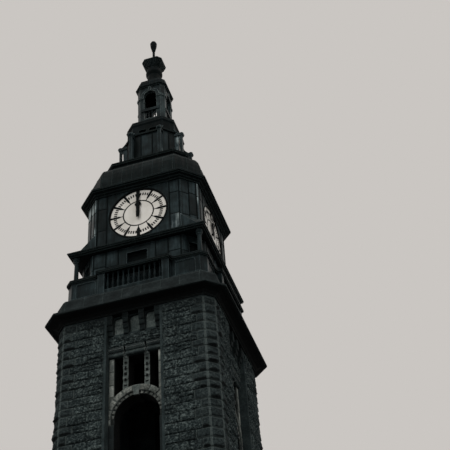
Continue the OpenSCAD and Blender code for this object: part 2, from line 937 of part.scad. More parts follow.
module gallery_cornice() {
  rows = moulding([core_half, 0, core_top], [square_half, 0, clock_z], square_profile);
  color(dark)
    difference() {
      square_stack([for (r = rows) [r[0], r[2]]]);
      oct(clock_half - clad_t, grow(clock_chamfer, -clad_t), core_top - 1, clock_z + 1);
    }
}

module corner_skirts() {
  q = (2 * clock_half - clock_chamfer) / sqrt(2) + seat_gap;
  a = clock_half + broach_out;
  color(clad)
    intersection() {
      four()
        rotate([0, 0, 45])
          rib([[q, clock_z], [q, clock_z + broach_h], [q + broach_run, clock_z]], 2 * broach_run);
      block([-a, -a, clock_z], [a, a, clock_z + broach_h]);
    }
}

module clock_walls() {
  color(clad)
    difference() {
      oct(clock_half, clock_chamfer, clock_z, clock_top);
      oct(clock_half - clad_t, grow(clock_chamfer, -clad_t), clock_z - 1, clock_top + 1);
      four()
        translate([0, 0, dial_z])
          rotate([90, 0, 0])
            cylinder(far, dial_r + rim_w, dial_r + rim_w, $fn = 96);
    }
}

module dial_rims() {
  out = dial_set + rim_out;
  step = rim_out / 2;
  color(dark)
    four()
      translate([0, -dial_y, dial_z])
        rotate([90, 0, 0])
          rotate_extrude($fn = 96)
            polygon([[dial_r, 0], [dial_r + rim_w, 0], [dial_r + rim_w, out], [dial_r + rim_w * 0.5, out],
                     [dial_r + rim_w * 0.5, out - step], [dial_r + rim_w * 0.25, out - step],
                     [dial_r + rim_w * 0.25, out - 2.5 * step], [dial_r, out - 2.5 * step]]);
}

module dials() {
  color(cream)
    four()
      translate([0, -dial_y + dial_t, dial_z])
        rotate([90, 0, 0])
          difference() {
            cylinder(dial_t, dial_r + rim_w, dial_r + rim_w, $fn = 96);
            translate([0, 0, -1])
              cylinder(dial_t + 2, pipe_r + run_gap, pipe_r + run_gap);
          }
}

module dial_marks() {
  neck = bar_w / 6;
  r = dial_r - run_gap;
  color(black)
    four()
      translate([0, -dial_y, dial_z])
        rotate([90, 0, 0])
          linear_extrude(mark_t) {
            difference() {
              circle(ring_r + ring_w / 2, $fn = 72);
              circle(ring_r - ring_w / 2, $fn = 72);
            }
            for (h = [0:11])
              rotate(30 * h) {
                w = (h % 6 == 0 ? bar_wide : bar_w) / 2;
                polygon([[-neck, ring_r], [neck, ring_r], [neck, 0.62 * r], [w, 0.72 * r], [w, 0.998 * r],
                         [-w, 0.998 * r], [-w, 0.72 * r], [-neck, 0.62 * r]]);
              }
          }
}

// One hand in the plane of its dial: its back at depth y, a stem r_out wide and back long, bored r_in
module hand(pts, y, r_in, r_out, back) {
  translate([0, -y, dial_z])
    rotate([90, 0, 0])
      difference() {
        union() {
          linear_extrude(hand_t)
            union() {
              polygon(pts);
              circle(hub_r);
            }
          translate([0, 0, -back])
            cylinder(back + 1, r_out, r_out);
        }
        if (r_in > 0)
          translate([0, 0, -back - 1])
            cylinder(back + hand_t + 2, r_in, r_in);
      }
}

module hour_hand(i) {
  w = hour_w / 2;
  a = arm_half;
  r = hour_len;
  right = [[w, -hub_r], [w, r * 0.56], [a * 0.8, r * 0.58], [a, r * 0.66], [a * 0.96, r * 0.76], [a * 0.7, r * 0.82],
           [w, r * 0.86], [w * 0.8, r * 0.93]];
  color(black)
    side(i)
      hand(concat(right, [[0, r]], [for (k = [len(right) - 1:-1:0]) [-right[k][0], right[k][1]]]),
           hour_y, arbor_r + run_gap, pipe_r, hand_stand + dial_t + 20);
}

module minute_hand(i) {
  w = minute_w / 2;
  color(black)
    side(i)
      hand([[-w * 0.8, -tail_len], [w * 0.8, -tail_len], [w, -tail_len * 0.7], [w, 0], [w * 0.85, minute_len],
            [-w * 0.85, minute_len], [-w, 0], [-w, -tail_len * 0.7]],
           minute_y, 0, arbor_r, minute_y - dial_y + dial_t + 60);
}

module front_hour_hand() { hour_hand(0); }
module front_minute_hand() { minute_hand(0); }
module right_hour_hand() { hour_hand(1); }
module right_minute_hand() { minute_hand(1); }
module back_hour_hand() { hour_hand(2); }
module back_minute_hand() { minute_hand(2); }
module left_hour_hand() { hour_hand(3); }
module left_minute_hand() { minute_hand(3); }

module clock_cornice() {
  color(dark)
    difference() {
      stack(moulding([clock_half, clock_chamfer, clock_top], [ccorn_half, ccorn_chamfer, skirt_z], ccorn_profile));
      oct(clock_half - clad_t, grow(clock_chamfer, -clad_t), clock_top - 1, skirt_z + 1);
    }
}

module skirt_roof() {
  color(clad)
    difference() {
      stack(moulding([skirt_half, skirt_chamfer, skirt_z], [skirt_half + skirt_swell, skirt_foot_chamfer, attic_z],
                     skirt_profile));
      oct(attic_half - clad_t, grow(attic_chamfer, -clad_t), skirt_z - 1, attic_z + 1);
    }
}

module attic() {
  color(dark)
    difference() {
      stack(moulding([attic_half, attic_chamfer, attic_z], [attic_half + attic_out, acorn_chamfer, drum_z],
                     attic_profile));
      oct(attic_half - clad_t, grow(attic_chamfer, -clad_t), attic_z - 1, drum_z - deck_t);
      oct(drum_half - drum_t, grow(drum_chamfer, -drum_t), drum_z - deck_t - 1, drum_z + 1);
    }
}

module drum_walls() {
  color(clad)
    difference() {
      oct(drum_half, drum_chamfer, drum_z, frieze_z);
      oct(drum_half - drum_t, grow(drum_chamfer, -drum_t), drum_z - 1, frieze_z + 1);
    }
}

module drum_frieze() {
  a = drum_half;
  c = drum_chamfer;
  color(dark)
    difference() {
      stack(concat(moulding([a, c, frieze_z], [a + bead_out, grow(c, bead_out), frieze_z + bead_h], bead_profile),
                   moulding([a, c, frieze_z], [a + dcorn_out, c, block_z], dcorn_profile),
                   moulding([a, c, block_z], [a + dcorn_out, c, slope_z], block_profile),
                   moulding([lantern_half + foot_out, grow(lantern_chamfer, foot_out), slope_z], [a, c, lantern_z],
                            slope_profile)));
      oct(a - drum_t, grow(c, -drum_t), frieze_z - 1, block_z);
      four()
        for (x = [-slit_x, slit_x])
          block([x - slit_half, -far, frieze_z + bead_h], [x + slit_half, 0, frieze_z + bead_h + slit_h]);
    }
}

// One console, outlined in depth and height: a post with a spread foot, a scroll on top and an arm to the drum
module bracket2d() {
  q = drum_half + bracket_out;
  h = frieze_z - scroll_drop;
  front = q + bracket_d * 0.35;
  back = front - bracket_d;
  polygon([[-front, h], [-front, drum_z + 3 * scroll_r], [-front - scroll_r * 0.3, drum_z + 1.4 * scroll_r],
           [-front - scroll_r * 0.35, drum_z + 0.6 * scroll_r], [-front, drum_z],
           [-back + scroll_r * 0.3, drum_z], [-back, drum_z + 2 * scroll_r], [-back, h]]);
  translate([-q, h])
    circle(scroll_r);
  translate([-q, h - scroll_r * 0.4])
    square([bracket_out, scroll_r * 1.2]);
}

module scroll_brackets() {
  color(clad)
    four()
      pair()
        translate([bracket_u, 0, 0]) {
          rib2d(bracket_t)
            bracket2d();
          translate([0, -drum_half - bracket_out, frieze_z - scroll_drop])
            rib2d(bracket_t + 2 * roll_out)
              circle(scroll_r * 0.8);
        }
}

// A band round a lantern arch, with its keystone, t beyond the wall's face
module arch_band(s) {
  a = lantern_half;
  difference() {
    arch_prism(lantern_open + band_w, s, s - impost_drop, a - 1, a + band_out);
    arch_prism(lantern_open, s, s - impost_drop - 1, a - 2, a + band_out + 1);
  }
  translate([0, -a + 1, 0])
    rotate([90, 0, 0])
      linear_extrude(lkey_out + 1)
        polygon([[-lkey_w / 2, s + lantern_open], [lkey_w / 2, s + lantern_open], [lkey_w * 0.65, lroof_z],
                 [-lkey_w * 0.65, lroof_z]]);
}

module lantern_walls() {
  s = lroof_z - spring_drop;
  i1 = s - impost_drop;
  color(clad)
    difference() {
      union() {
        oct(lantern_half, lantern_chamfer, lantern_z, lroof_z);
        oct(lantern_half + impost_out, grow(lantern_chamfer, impost_out), i1 - impost_h, i1);
        four()
          arch_band(s);
      }
      oct(lantern_half - lantern_t, lantern_chamfer / 2, lantern_z + sill_rise, lroof_z + 1);
      for (i = [0, 1])
        side(i)
          arch_prism(lantern_open, s, lantern_z + sill_rise, -far, far);
    }
}

module lantern_rails() {
  z = lantern_z + sill_rise;
  x = lantern_open - seat_gap;
  y = lantern_half + seat_gap;
  color(clad)
    four() {
      block([-lrail_half, -y - lrail_out, z + lbal_h], [lrail_half, -y, z + lbal_h + lrail_h]);
      block([-x, -y - 1, z + lbal_h], [x, -lantern_half + lrail_in, z + lbal_h + lrail_h]);
      for (i = [-1.5:1.5])
        translate([i * lbal_pitch, -lantern_half + lbal_r + 2, z])
          turned(lbal_profile, lbal_r, lbal_h + 1, $fn = 16);
    }
}

module lantern_roof() {
  color(dark)
    difference() {
      stack(concat([[lantern_half, lantern_chamfer, lroof_z]],
                   moulding([roof_top_half, roof_top_chamfer, lroof_z],
                            [lantern_half + lcorn_out, lcorn_chamfer, neck_z], lroof_profile)));
      oct(lantern_half - lantern_t, lantern_chamfer / 2, lroof_z - 1, lroof_z + lroof_h / 10);
    }
}

module roof_neck() {
  color(clad)
    translate([0, 0, neck_z])
      turned(neck_profile, neck_r, neck_h);
}

// The bell's rows, d outside its face
function bell_rows(d) =
  let (foot = neck_r * neck_profile[len(neck_profile) - 1][0] + d)
    moulding([foot, grow(0, foot), cap_z], [cap_half + d, grow(cap_chamfer, d), rod_z], cap_profile);

module top_slab() {
  outer = bell_rows(rib_out);
  color(dark) {
    stack(bell_rows(0));
    intersection() {
      stack([for (i = [0:ribbed_rows - 1]) outer[i]]);
      for (i = [0:rib_n / 2 - 1])
        rotate([0, 0, (i + 0.5) * 360 / rib_n])
          block([-rib_w / 2, -2 * cap_half, cap_z], [rib_w / 2, 2 * cap_half, rod_z]);
    }
  }
}

module finial() {
  color(dark)
    translate([0, 0, rod_z])
      union() {
        turned(rod_profile, rod_r, rod_h, $fn = 36);
        translate([0, 0, rod_h])
          turned(knob_profile, knob_r, knob_h, $fn = 36);
      }
}

plinth();
shaft_walls();
corner_piers();
window_jambs();
window_arches();
window_mullions();
window_lintels();
window_sills();
wall_corbels();
foot_door();
main_cornice();
parapet_corners();
parapet_piers();
balusters();
parapet_coping();
gallery_floor();
gallery_walls();
gallery_windows();
gallery_columns();
gallery_cornice();
corner_skirts();
clock_walls();
dial_rims();
dials();
dial_marks();
front_hour_hand();
front_minute_hand();
right_hour_hand();
right_minute_hand();
back_hour_hand();
back_minute_hand();
left_hour_hand();
left_minute_hand();
clock_cornice();
skirt_roof();
attic();
drum_walls();
drum_frieze();
scroll_brackets();
lantern_walls();
lantern_rails();
lantern_roof();
roof_neck();
top_slab();
finial();
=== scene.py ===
import functools
import math
import random
from itertools import pairwise

import bpy
from bpy.props import FloatProperty, FloatVectorProperty, IntProperty, PointerProperty, StringProperty
from mathutils import Matrix, Vector, noise
from mathutils.bvhtree import BVHTree


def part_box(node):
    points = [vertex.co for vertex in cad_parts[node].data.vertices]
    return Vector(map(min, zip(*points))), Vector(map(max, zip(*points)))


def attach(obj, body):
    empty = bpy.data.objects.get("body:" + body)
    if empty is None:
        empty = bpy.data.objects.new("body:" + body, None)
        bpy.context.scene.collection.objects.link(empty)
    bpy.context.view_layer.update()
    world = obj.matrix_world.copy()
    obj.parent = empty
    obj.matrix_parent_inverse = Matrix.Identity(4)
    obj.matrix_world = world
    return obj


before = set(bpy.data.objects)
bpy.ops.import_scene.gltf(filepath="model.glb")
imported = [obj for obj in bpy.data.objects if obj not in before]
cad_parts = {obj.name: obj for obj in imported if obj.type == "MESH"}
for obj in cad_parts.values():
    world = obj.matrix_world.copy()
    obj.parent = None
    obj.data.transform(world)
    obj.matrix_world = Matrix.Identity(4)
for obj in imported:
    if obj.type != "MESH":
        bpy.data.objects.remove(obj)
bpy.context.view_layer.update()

bl_info = {
    "name": "Clock Tower Dresser",
    "version": (1, 0, 0),
    "blender": (4, 5, 0),
    "location": "View3D > Sidebar > Tower",
    "description": "Lays the stonework, sheet cladding, dials and finishes on a packed clock tower",
    "category": "Object",
}

BODY = "tower"
SIDES = range(4)
QUARTER = math.pi / 2


def low(node):
    """The lowest corner of a node's box."""
    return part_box(node)[0]


def high(node):
    """The highest corner of a node's box."""
    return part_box(node)[1]


def face_of(node):
    """How far a node's front face lies from the axis."""
    return -low(node)[1]


# Levels and half widths in metres, read off the CAD nodes
SHAFT = high("corner_piers")[0]
SHAFT_TOP = high("corner_piers")[2]
PLINTH = high("plinth")[0]
PLINTH_TOP = high("plinth")[2]
DOOR = high("foot_door")[0]
DOOR_TOP = high("foot_door")[2]
JAMB_FACE = face_of("window_jambs")
LINTEL_Z = low("window_lintels")[2]
BASE_TOP = high("main_cornice")[2]
CORE = high("gallery_walls")[0]
CORE_TOP = high("gallery_walls")[2]
CLOCK = high("clock_walls")[0]
CLOCK_FOOT = low("clock_walls")[2]
CLOCK_TOP = high("clock_walls")[2]
DIAL_Z = (low("dials")[2] + high("dials")[2]) / 2
DIAL_RIM = (high("dial_rims")[2] - low("dial_rims")[2]) / 2
DRUM = high("drum_walls")[0]
DRUM_FOOT = low("drum_walls")[2]
DRUM_TOP = high("drum_walls")[2]

# Cuts of the chamfered corners, which the boxes don't give
SHAFT_CUT = 0.3
CORE_CUT = 0.628
CLOCK_CUT = 0.511
DRUM_CUT = 0.375

# The bay: its half width and depth, the springing, the centres, radius and ring of its two arches, the width
# and set-back of their inner order, half the angle of each keystone, and the height and top of each sill
BAY = 0.905
BAY_DEPTH = 0.17
SPRING = 15.79
ARCH_Z = 16.0
LOW_ARCH_Z = 9.3
ARCH_R = 0.736
ARCH_RING = 0.305
ORDER = 0.1
ORDER_SET = 0.052
KEY = 0.125
LOW_KEY = 0.06
SILL = 0.2
SILL_Z = high("window_sills")[2]
LOW_SILL_Z = low("window_sills")[2] + SILL

# The niches as (centre, half width), their foot and top, the rounding of their heads and their depth
NICHES = ((0, 0.181), (-0.545, 0.178), (0.545, 0.178))
NICHE_FOOT = 18.966
NICHE_TOP = 19.61
NICHE_R = 0.106
NICHE_DEPTH = 0.26

# The mullions' middles, and their pits as (start, end, half width). Start and end are shares of the mullion's
# height, from its top down.
MULLION = 0.356
PITS = ((0.16, 0.22, 0.04), (0.31, 0.42, 0.03), (0.5, 0.6, 0.045), (0.68, 0.77, 0.03), (0.88, 0.93, 0.05))

# The corona's lower edge, and how far down the cornice's weathered part goes
EAVES = 19.84
WEATHERING = 0.69

# The gallery windows: half widths on the faces and on the chamfers, and their levels
WINDOW = 0.375
SLIM_WINDOW = 0.195
WINDOW_FOOT = 21.2
WINDOW_TOP = 22.46

# The scroll brackets: radius of a scroll, place and thickness of a bracket, how far behind the scroll its
# post's back lies, and the steps of the curved band
SCROLL_R = 0.095
BRACKET_U = 0.604
BRACKET_THICK = 0.134
POST_BACK = 0.055
BRACKET_STEPS = 12
# From a scroll's middle, how far down the slit beside the post begins and how far up the band's low end lies,
# and the power of the band's curve
SLIT_DROP = 0.22
BAND_LIFT = 0.04
BAND_CURVE = 1.5

# How far a stone's back stands off the wall behind it, and twice what a sheet and a dressed face's rim do
LIFT = 0.001


# Sizes and colours that a user may change


def length(name, default, description):
    """A length in metres."""
    return FloatProperty(name=name, description=description, default=default, unit="LENGTH")


def colour(name, default, description):
    """A colour as an sRGB hex code."""
    return StringProperty(name=name, description=description + ", as sRGB hex", default=default)


class TowerStone(bpy.types.PropertyGroup):
    course: length("Course", 0.3, "Mean height of a course")
    longest: length("Longest stone", 0.86, "Length of the longest wall stone")
    shortest: length("Shortest stone", 0.36, "Length of the shortest wall stone")
    joint: length("Joint", 0.014, "Width of a mortar joint")
    fine_joint: length("Fine joint", 0.012, "Width of a joint between jamb stones")
    relief: length("Relief", 0.042, "How far a rock face stands out")
    boss: length("Boss", 0.085, "How far a corner boss stands out")
    margin: length("Margin", 0.085, "Smooth margin beside the bay")
    seed: IntProperty(name="Seed", description="Seed of the stones' lengths", default=7)


class TowerSheet(bpy.types.PropertyGroup):
    seam: length("Seam", 0.034, "Thickness of a standing seam")
    dent: length("Dent", 0.007, "Depth of the sheets' dents")
    web: length("Bracket sheet", 0.05, "Thickness of a scroll bracket's sheet")
    band: length("Bracket band", 0.035, "Thickness of the band on it")
    rise: length("Bracket rise", 0.33, "How far the band climbs over the scroll")
    slit: length("Bracket slit", 0.08, "Gap between the sheet and its post")
    seed: IntProperty(name="Seed", description="Seed of the sheets' tones", default=11)


class TowerDial(bpy.types.PropertyGroup):
    inner: length("Inner", 0.83, "Inner end of a minute bar")
    outer: length("Outer", 0.95, "Outer end of a minute bar")
    width: length("Width", 0.05, "Width of a minute bar")
    thick: length("Thickness", 0.005, "Thickness of a minute bar")


class TowerColours(bpy.types.PropertyGroup):
    rock: colour("Wall stones", "#303939", "Middle tone of the rock-faced stones")
    washed: colour("Arch stones", "#555853", "Middle tone of the rain-washed arch stones")
    sheet: colour("Sheet", "#141b1c", "Middle tone of the sheet on the walls")
    roof: colour("Roof", "#0b1010", "Middle tone of the sheet on the bell-shaped roof")
    dial: colour("Dials", "#c5c0b7", "Middle tone of the opal glass")


class TowerStage(bpy.types.PropertyGroup):
    floor: length("Floor", 60.0, "Half width of the floor")
    sky: colour("Background", "#cac6c2", "Colour behind the tower")
    ground: colour("Floor colour", "#c4c2bd", "Colour of the floor")
    earth: colour("Bounce colour", "#34393b", "Colour of the floor as it lights the tower")
    light: FloatProperty(name="Light", description="Strength of the soft light from the sky", default=0.78)
    sun: FloatProperty(name="Key lamp", description="Strength of the key lamp", default=1.7)
    place: FloatVectorProperty(name="Camera", description="Place of the camera", subtype="TRANSLATION",
                               unit="LENGTH", default=(8.915, -26.139, 1.593))
    aim: FloatVectorProperty(name="Aim", description="Azimuth, elevation and roll of the camera",
                             subtype="EULER",
                             default=(math.radians(13.46), math.radians(-40.65), math.radians(-4.84)))
    focal: FloatProperty(name="Focal length", description="Focal length in mm on a 36 mm sensor",
                         unit="CAMERA", default=75.56)


# Small tools


def linear(code):
    """An sRGB hex colour as linear RGBA."""
    parts = [int(code[i:i + 2], 16) / 255 for i in (1, 3, 5)]
    return [p / 12.92 if p <= 0.04045 else ((p + 0.055) / 1.055) ** 2.4 for p in parts] + [1.0]


def put(tree, kind, inputs=None, stops=(), **settings):
    """Adds a node with its settings and links.

    inputs maps a socket's name or number to a value, an sRGB hex colour, a socket, or a node, which gives
    its first enabled output. stops are a colour ramp's (position, colour) pairs.
    """
    node = tree.nodes.new(kind)
    for name, value in settings.items():
        setattr(node, name, value)
    for key, value in (inputs or {}).items():
        if isinstance(value, bpy.types.Node):
            value = next(output for output in value.outputs if output.enabled)
        if isinstance(value, bpy.types.NodeSocket):
            tree.links.new(value, node.inputs[key])
        elif isinstance(value, str) and value.startswith("#"):
            node.inputs[key].default_value = linear(value)
        else:
            node.inputs[key].default_value = value
    if stops:
        elements = node.color_ramp.elements
        while len(elements) < len(stops):
            elements.new(0.5)
        for element, (position, code) in zip(elements, stops):
            element.position = position
            element.color = linear(code)
    return node


def dress(name, material):
    """Gives a CAD node its material in each of its slots."""
    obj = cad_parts[name]
    if not obj.material_slots:
        obj.data.materials.append(None)
    for slot in obj.material_slots:
        slot.material = material


def new_object(name, mesh):
    """An object with the mesh, in the scene."""
    obj = bpy.data.objects.new(name, mesh)
    bpy.context.scene.collection.objects.link(obj)
    return obj


def new_mesh(name, verts, faces, material):
    """A mesh of one material."""
    mesh = bpy.data.meshes.new(name)
    mesh.from_pydata(verts, [], faces)
    mesh.materials.append(material)
    return mesh


def hand_over(obj):
    """Lets a finished piece ride on the tower."""
    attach(obj, BODY)


def turned(side, x, y, z):
    """A place given on the front side, moved to one of the four sides."""
    for _ in range(side):
        x, y = -y, x
    return x, y, z


def octagon(half, cut):
    """The faces of a chamfered square: turn, distance from the axis, width, and whether it is a chamfer."""
    for side in SIDES:
        yield side * QUARTER, half, 2 * (half - cut), False
        yield side * QUARTER + QUARTER / 2, (2 * half - cut) / math.sqrt(2), cut * math.sqrt(2), True


def on_face(turn, distance, u, z):
    """The world place of a point u along a face, counted to the right as seen from outside."""
    c, s = math.cos(turn), math.sin(turn)
    return Vector((u * c + distance * s, u * s - distance * c, z))


def spaced(count, margin):
    """Count + 1 places from 0 to 1, of which the second and the last but one lie a margin from the ends."""
    inner = [margin + (1 - 2 * margin) * i / (count - 2) for i in range(1, count - 2)]
    return [0.0, margin, *inner, 1 - margin, 1.0]


# Geometry node trees


def unit_sheet(name, cols, rows, margin):
    """A unit square in X and Z that faces -Y, with a rim as wide as the margin and each point's place."""
    xs, zs = spaced(cols, margin), spaced(rows, margin)
    n = len(xs)
    faces = [(j * n + i, j * n + i + 1, (j + 1) * n + i + 1, (j + 1) * n + i)
             for j in range(rows) for i in range(cols)]
    mesh = bpy.data.meshes.new(name)
    mesh.from_pydata([(x - 0.5, 0, z - 0.5) for z in zs for x in xs], [], faces)
    place = mesh.attributes.new("place", "FLOAT_VECTOR", "POINT")
    place.data.foreach_set("vector", [c for z in zs for x in xs for c in (x, 0.0, z)])
    return bpy.data.objects.new(name, mesh)


def start_tree(name, sockets):
    """A tree with geometry in and out, a material and the given inputs, and its input sockets."""
    tree = bpy.data.node_groups.new(name, "GeometryNodeTree")
    for way in ("INPUT", "OUTPUT"):
        tree.interface.new_socket("Geometry", in_out=way, socket_type="NodeSocketGeometry")
    tree.interface.new_socket("Material", in_out="INPUT", socket_type="NodeSocketMaterial")
    for label, default in sockets.items():
        kind = "Object" if default is None else "Float"
        socket = tree.interface.new_socket(label, in_out="INPUT", socket_type="NodeSocket" + kind)
        if default is not None:
            socket.default_value = default
    return tree, put(tree, "NodeGroupInput").outputs


def end_tree(tree, given, geometry):
    """Realizes what the tree has made, and gives it its material."""
    real = put(tree, "GeometryNodeRealizeInstances", {"Geometry": geometry})
    done = put(tree, "GeometryNodeSetMaterial", {"Geometry": real, "Material": given["Material"]})
    put(tree, "NodeGroupOutput", {0: done})
    return tree


def laid_on_points(tree, given, shape):
    """A copy of the shape on each point, in the point's own size and turn."""
    size, turn = (put(tree, "GeometryNodeInputNamedAttribute", {"Name": label}, data_type="FLOAT_VECTOR")
                  for label in ("size", "turn"))
    return put(tree, "GeometryNodeInstanceOnPoints", {"Points": given["Geometry"], "Instance": shape,
                                                      "Rotation": turn, "Scale": size})


@functools.cache
def blocks_on_points():
    """The tree in which each point gets a block, which is realized and then roughened where it stands.

    Even and Rough are the steady and the wild share of the relief, Grain its size, Flat how much flatter its
    grain lies, Border the smooth rim, which Upright narrows at the sides, Sag how far the foot hangs out, and
    Wander how far points move sideways.
    """
    tree, given = start_tree("Faced blocks on points", {
        "Block": None, "Relief": 0.04, "Even": 0.45, "Rough": 0.9, "Grain": 0.2, "Flat": 1.0, "Border": 0.03,
        "Upright": 1.0, "Sag": 0.0, "Wander": 0.0, "Seed": 0.0})
    block = put(tree, "GeometryNodeObjectInfo", {"Object": given["Block"]}).outputs["Geometry"]
    real = put(tree, "GeometryNodeRealizeInstances", {"Geometry": laid_on_points(tree, given, block)})
    stored = [put(tree, "GeometryNodeInputNamedAttribute", {"Name": label}, data_type="FLOAT_VECTOR")
              for label in ("place", "size")]
    place, size = (put(tree, "ShaderNodeSeparateXYZ", {0: vector}).outputs for vector in stored)

    gaps = []
    for axis in (0, 2):
        rest = put(tree, "ShaderNodeMath", {0: 1.0, 1: place[axis]}, operation="SUBTRACT")
        near = put(tree, "ShaderNodeMath", {0: place[axis], 1: rest}, operation="MINIMUM")
        gaps.append(put(tree, "ShaderNodeMath", {0: near, 1: size[axis]}, operation="MULTIPLY"))
    beside = put(tree, "ShaderNodeMath", {0: gaps[0], 1: given["Upright"]}, operation="MULTIPLY")
    edge = put(tree, "ShaderNodeMath", {0: beside, 1: gaps[1]}, operation="MINIMUM")
    rise = put(tree, "ShaderNodeMapRange", {"Value": edge, "From Min": 0.0, "From Max": given["Border"],
                                            "To Min": 0.0, "To Max": 1.0}, interpolation_type="SMOOTHSTEP")

    where = put(tree, "ShaderNodeVectorMath", {0: put(tree, "GeometryNodeInputPosition"), 1: given["Seed"]},
                operation="ADD")
    flat = put(tree, "ShaderNodeCombineXYZ", {"X": 1.0, "Y": 1.0, "Z": given["Flat"]})
    where = put(tree, "ShaderNodeVectorMath", {0: where, 1: flat}, operation="MULTIPLY")
    scale = put(tree, "ShaderNodeMath", {0: 1.0, 1: given["Grain"]}, operation="DIVIDE")
    breaks = put(tree, "ShaderNodeTexNoise", {"Vector": where, "Scale": scale, "Detail": 3.0,
                                              "Roughness": 0.6})
    depth = put(tree, "ShaderNodeMath", {0: breaks, 1: given["Rough"], 2: given["Even"]},
                operation="MULTIPLY_ADD")
    hang = put(tree, "ShaderNodeMath", {0: 0.5, 1: place[2]}, operation="SUBTRACT")
    lean = put(tree, "ShaderNodeMath", {0: hang, 1: given["Sag"], 2: 1.0}, operation="MULTIPLY_ADD")
    for factor in (lean, rise, given["Relief"], size[1]):
        depth = put(tree, "ShaderNodeMath", {0: depth, 1: factor}, operation="MULTIPLY")
    normal = put(tree, "GeometryNodeInputNormal")
    out = put(tree, "ShaderNodeVectorMath", {0: normal, 3: depth}, operation="SCALE")
    drift = put(tree, "ShaderNodeVectorMath", {0: breaks.outputs["Color"], 1: (0.5, 0.5, 0.5)},
                operation="SUBTRACT")
    drift = put(tree, "ShaderNodeVectorMath", {0: drift, 3: given["Wander"]}, operation="SCALE")
    offset = put(tree, "ShaderNodeVectorMath", {0: out, 1: drift}, operation="ADD")

    faced = put(tree, "GeometryNodeSetPosition", {"Geometry": real, "Offset": offset})
    kept = put(tree, "GeometryNodeStoreNamedAttribute", {"Geometry": faced, "Name": "edge", "Value": edge},
               data_type="FLOAT", domain="POINT")
    smooth = put(tree, "GeometryNodeSetShadeSmooth", {"Geometry": kept, "Shade Smooth": True})
    return end_tree(tree, given, smooth)


@functools.cache
def bars_on_points():
    """The tree in which each point gets a square bar."""
    tree, given = start_tree("Bars on points", {})
    bar = put(tree, "GeometryNodeMeshCube", {"Size": (1.0, 1.0, 1.0)})
    return end_tree(tree, given, laid_on_points(tree, given, bar))


@functools.cache
def seams_on_paths():
    """The tree in which edges become paths, and a small six-sided roll runs along each."""
    tree, given = start_tree("Seams on paths", {"Radius": 0.01})
    path = put(tree, "GeometryNodeMeshToCurve", {"Mesh": given["Geometry"]})
    ring = put(tree, "GeometryNodeCurvePrimitiveCircle", {"Resolution": 6, "Radius": given["Radius"]})
    roll = put(tree, "GeometryNodeCurveToMesh", {"Curve": path, "Profile Curve": ring, "Fill Caps": True})
    return end_tree(tree, given, roll)


def grown(name, mesh, tree, slot_name, **inputs):
    """Runs a tree on a mesh of points or edges, and hands over the plain mesh that it makes."""
    source = new_object(name + "_source", mesh)
    modifier = source.modifiers.new("Grow", "NODES")
    modifier.node_group = tree
    ids = {item.name: item.identifier for item in tree.interface.items_tree if item.in_out == "INPUT"}
    for label, value in inputs.items():
        modifier[ids[label]] = value
    graph = bpy.context.evaluated_depsgraph_get()
    plain = bpy.data.meshes.new_from_object(source.evaluated_get(graph), preserve_all_data_layers=True,
                                            depsgraph=graph)
    plain.name = name
    source.modifiers.remove(modifier)
    bpy.data.objects.remove(source)
    if not plain.polygons:
        raise RuntimeError(name + " came out empty")
    hand_over(new_object(name, plain))


def points_mesh(name, rows):
    """A mesh of points from rows of (place, size, turn, tone)."""
    mesh = bpy.data.meshes.new(name)
    mesh.from_pydata([row[0] for row in rows], [], [])
    for k, label in ((1, "size"), (2, "turn")):
        layer = mesh.attributes.new(label, "FLOAT_VECTOR", "POINT")
        layer.data.foreach_set("vector", [c for row in rows for c in row[k]])
    tone = mesh.attributes.new("tone", "FLOAT", "POINT")
    tone.data.foreach_set("value", [row[3] for row in rows])
    return mesh


def paths_mesh(name, paths):
    """A mesh of edges, one chain for each list of places."""
    verts, edges = [], []
    for path in paths:
        edges += [(len(verts) + i, len(verts) + i + 1) for i in range(len(path) - 1)]
        verts += path
    mesh = bpy.data.meshes.new(name)
    mesh.from_pydata(verts, edges, [])
    return mesh


SURFACES = {}
# A distance from the axis that lies outside the whole tower
OUTSIDE = 8.0


def trace(node, turn, u, z0, z1, step):
    """Places on a CAD node's outer face at u along a side, from z0 up to z1, found by looking in at it."""
    if node not in SURFACES:
        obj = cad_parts[node]
        SURFACES[node] = BVHTree.FromPolygons([obj.matrix_world @ v.co for v in obj.data.vertices],
                                              [tuple(p.vertices) for p in obj.data.polygons])
    inward = Vector((-math.sin(turn), math.cos(turn), 0))
    count = max(1, round((z1 - z0) / step))
    levels = [z0 + (z1 - z0) * i / count for i in range(count + 1)]
    hits = [SURFACES[node].ray_cast(on_face(turn, OUTSIDE, u, z), inward)[0] for z in levels]
    return [hit for hit in hits if hit is not None]


# Finishes


def bare_tree(name):
    """An empty material, and its node tree."""
    material = bpy.data.materials.new(name)
    material.use_nodes = True
    material.node_tree.nodes.clear()
    return material, material.node_tree


def shaded(tree, inputs):
    """Ends a material's tree in its shader."""
    put(tree, "ShaderNodeOutputMaterial", {"Surface": put(tree, "ShaderNodeBsdfPrincipled", inputs)})


def grain(tree, size, detail=4.0, rough=0.6, stretch=(1, 1, 1)):
    """Noise with a grain of the given size in metres, on Object coordinates."""
    where = put(tree, "ShaderNodeTexCoord").outputs["Object"]
    mapped = put(tree, "ShaderNodeMapping", {"Vector": where, "Scale": stretch})
    return put(tree, "ShaderNodeTexNoise", {"Vector": mapped, "Scale": 1 / size, "Detail": detail,
                                            "Roughness": rough})


def weighed(tree, first, share, second):
    """The given share of one pattern, and the rest of another."""
    part = put(tree, "ShaderNodeMath", {0: first, 1: share}, operation="MULTIPLY")
    return put(tree, "ShaderNodeMath", {0: second, 1: 1 - share, 2: part}, operation="MULTIPLY_ADD")


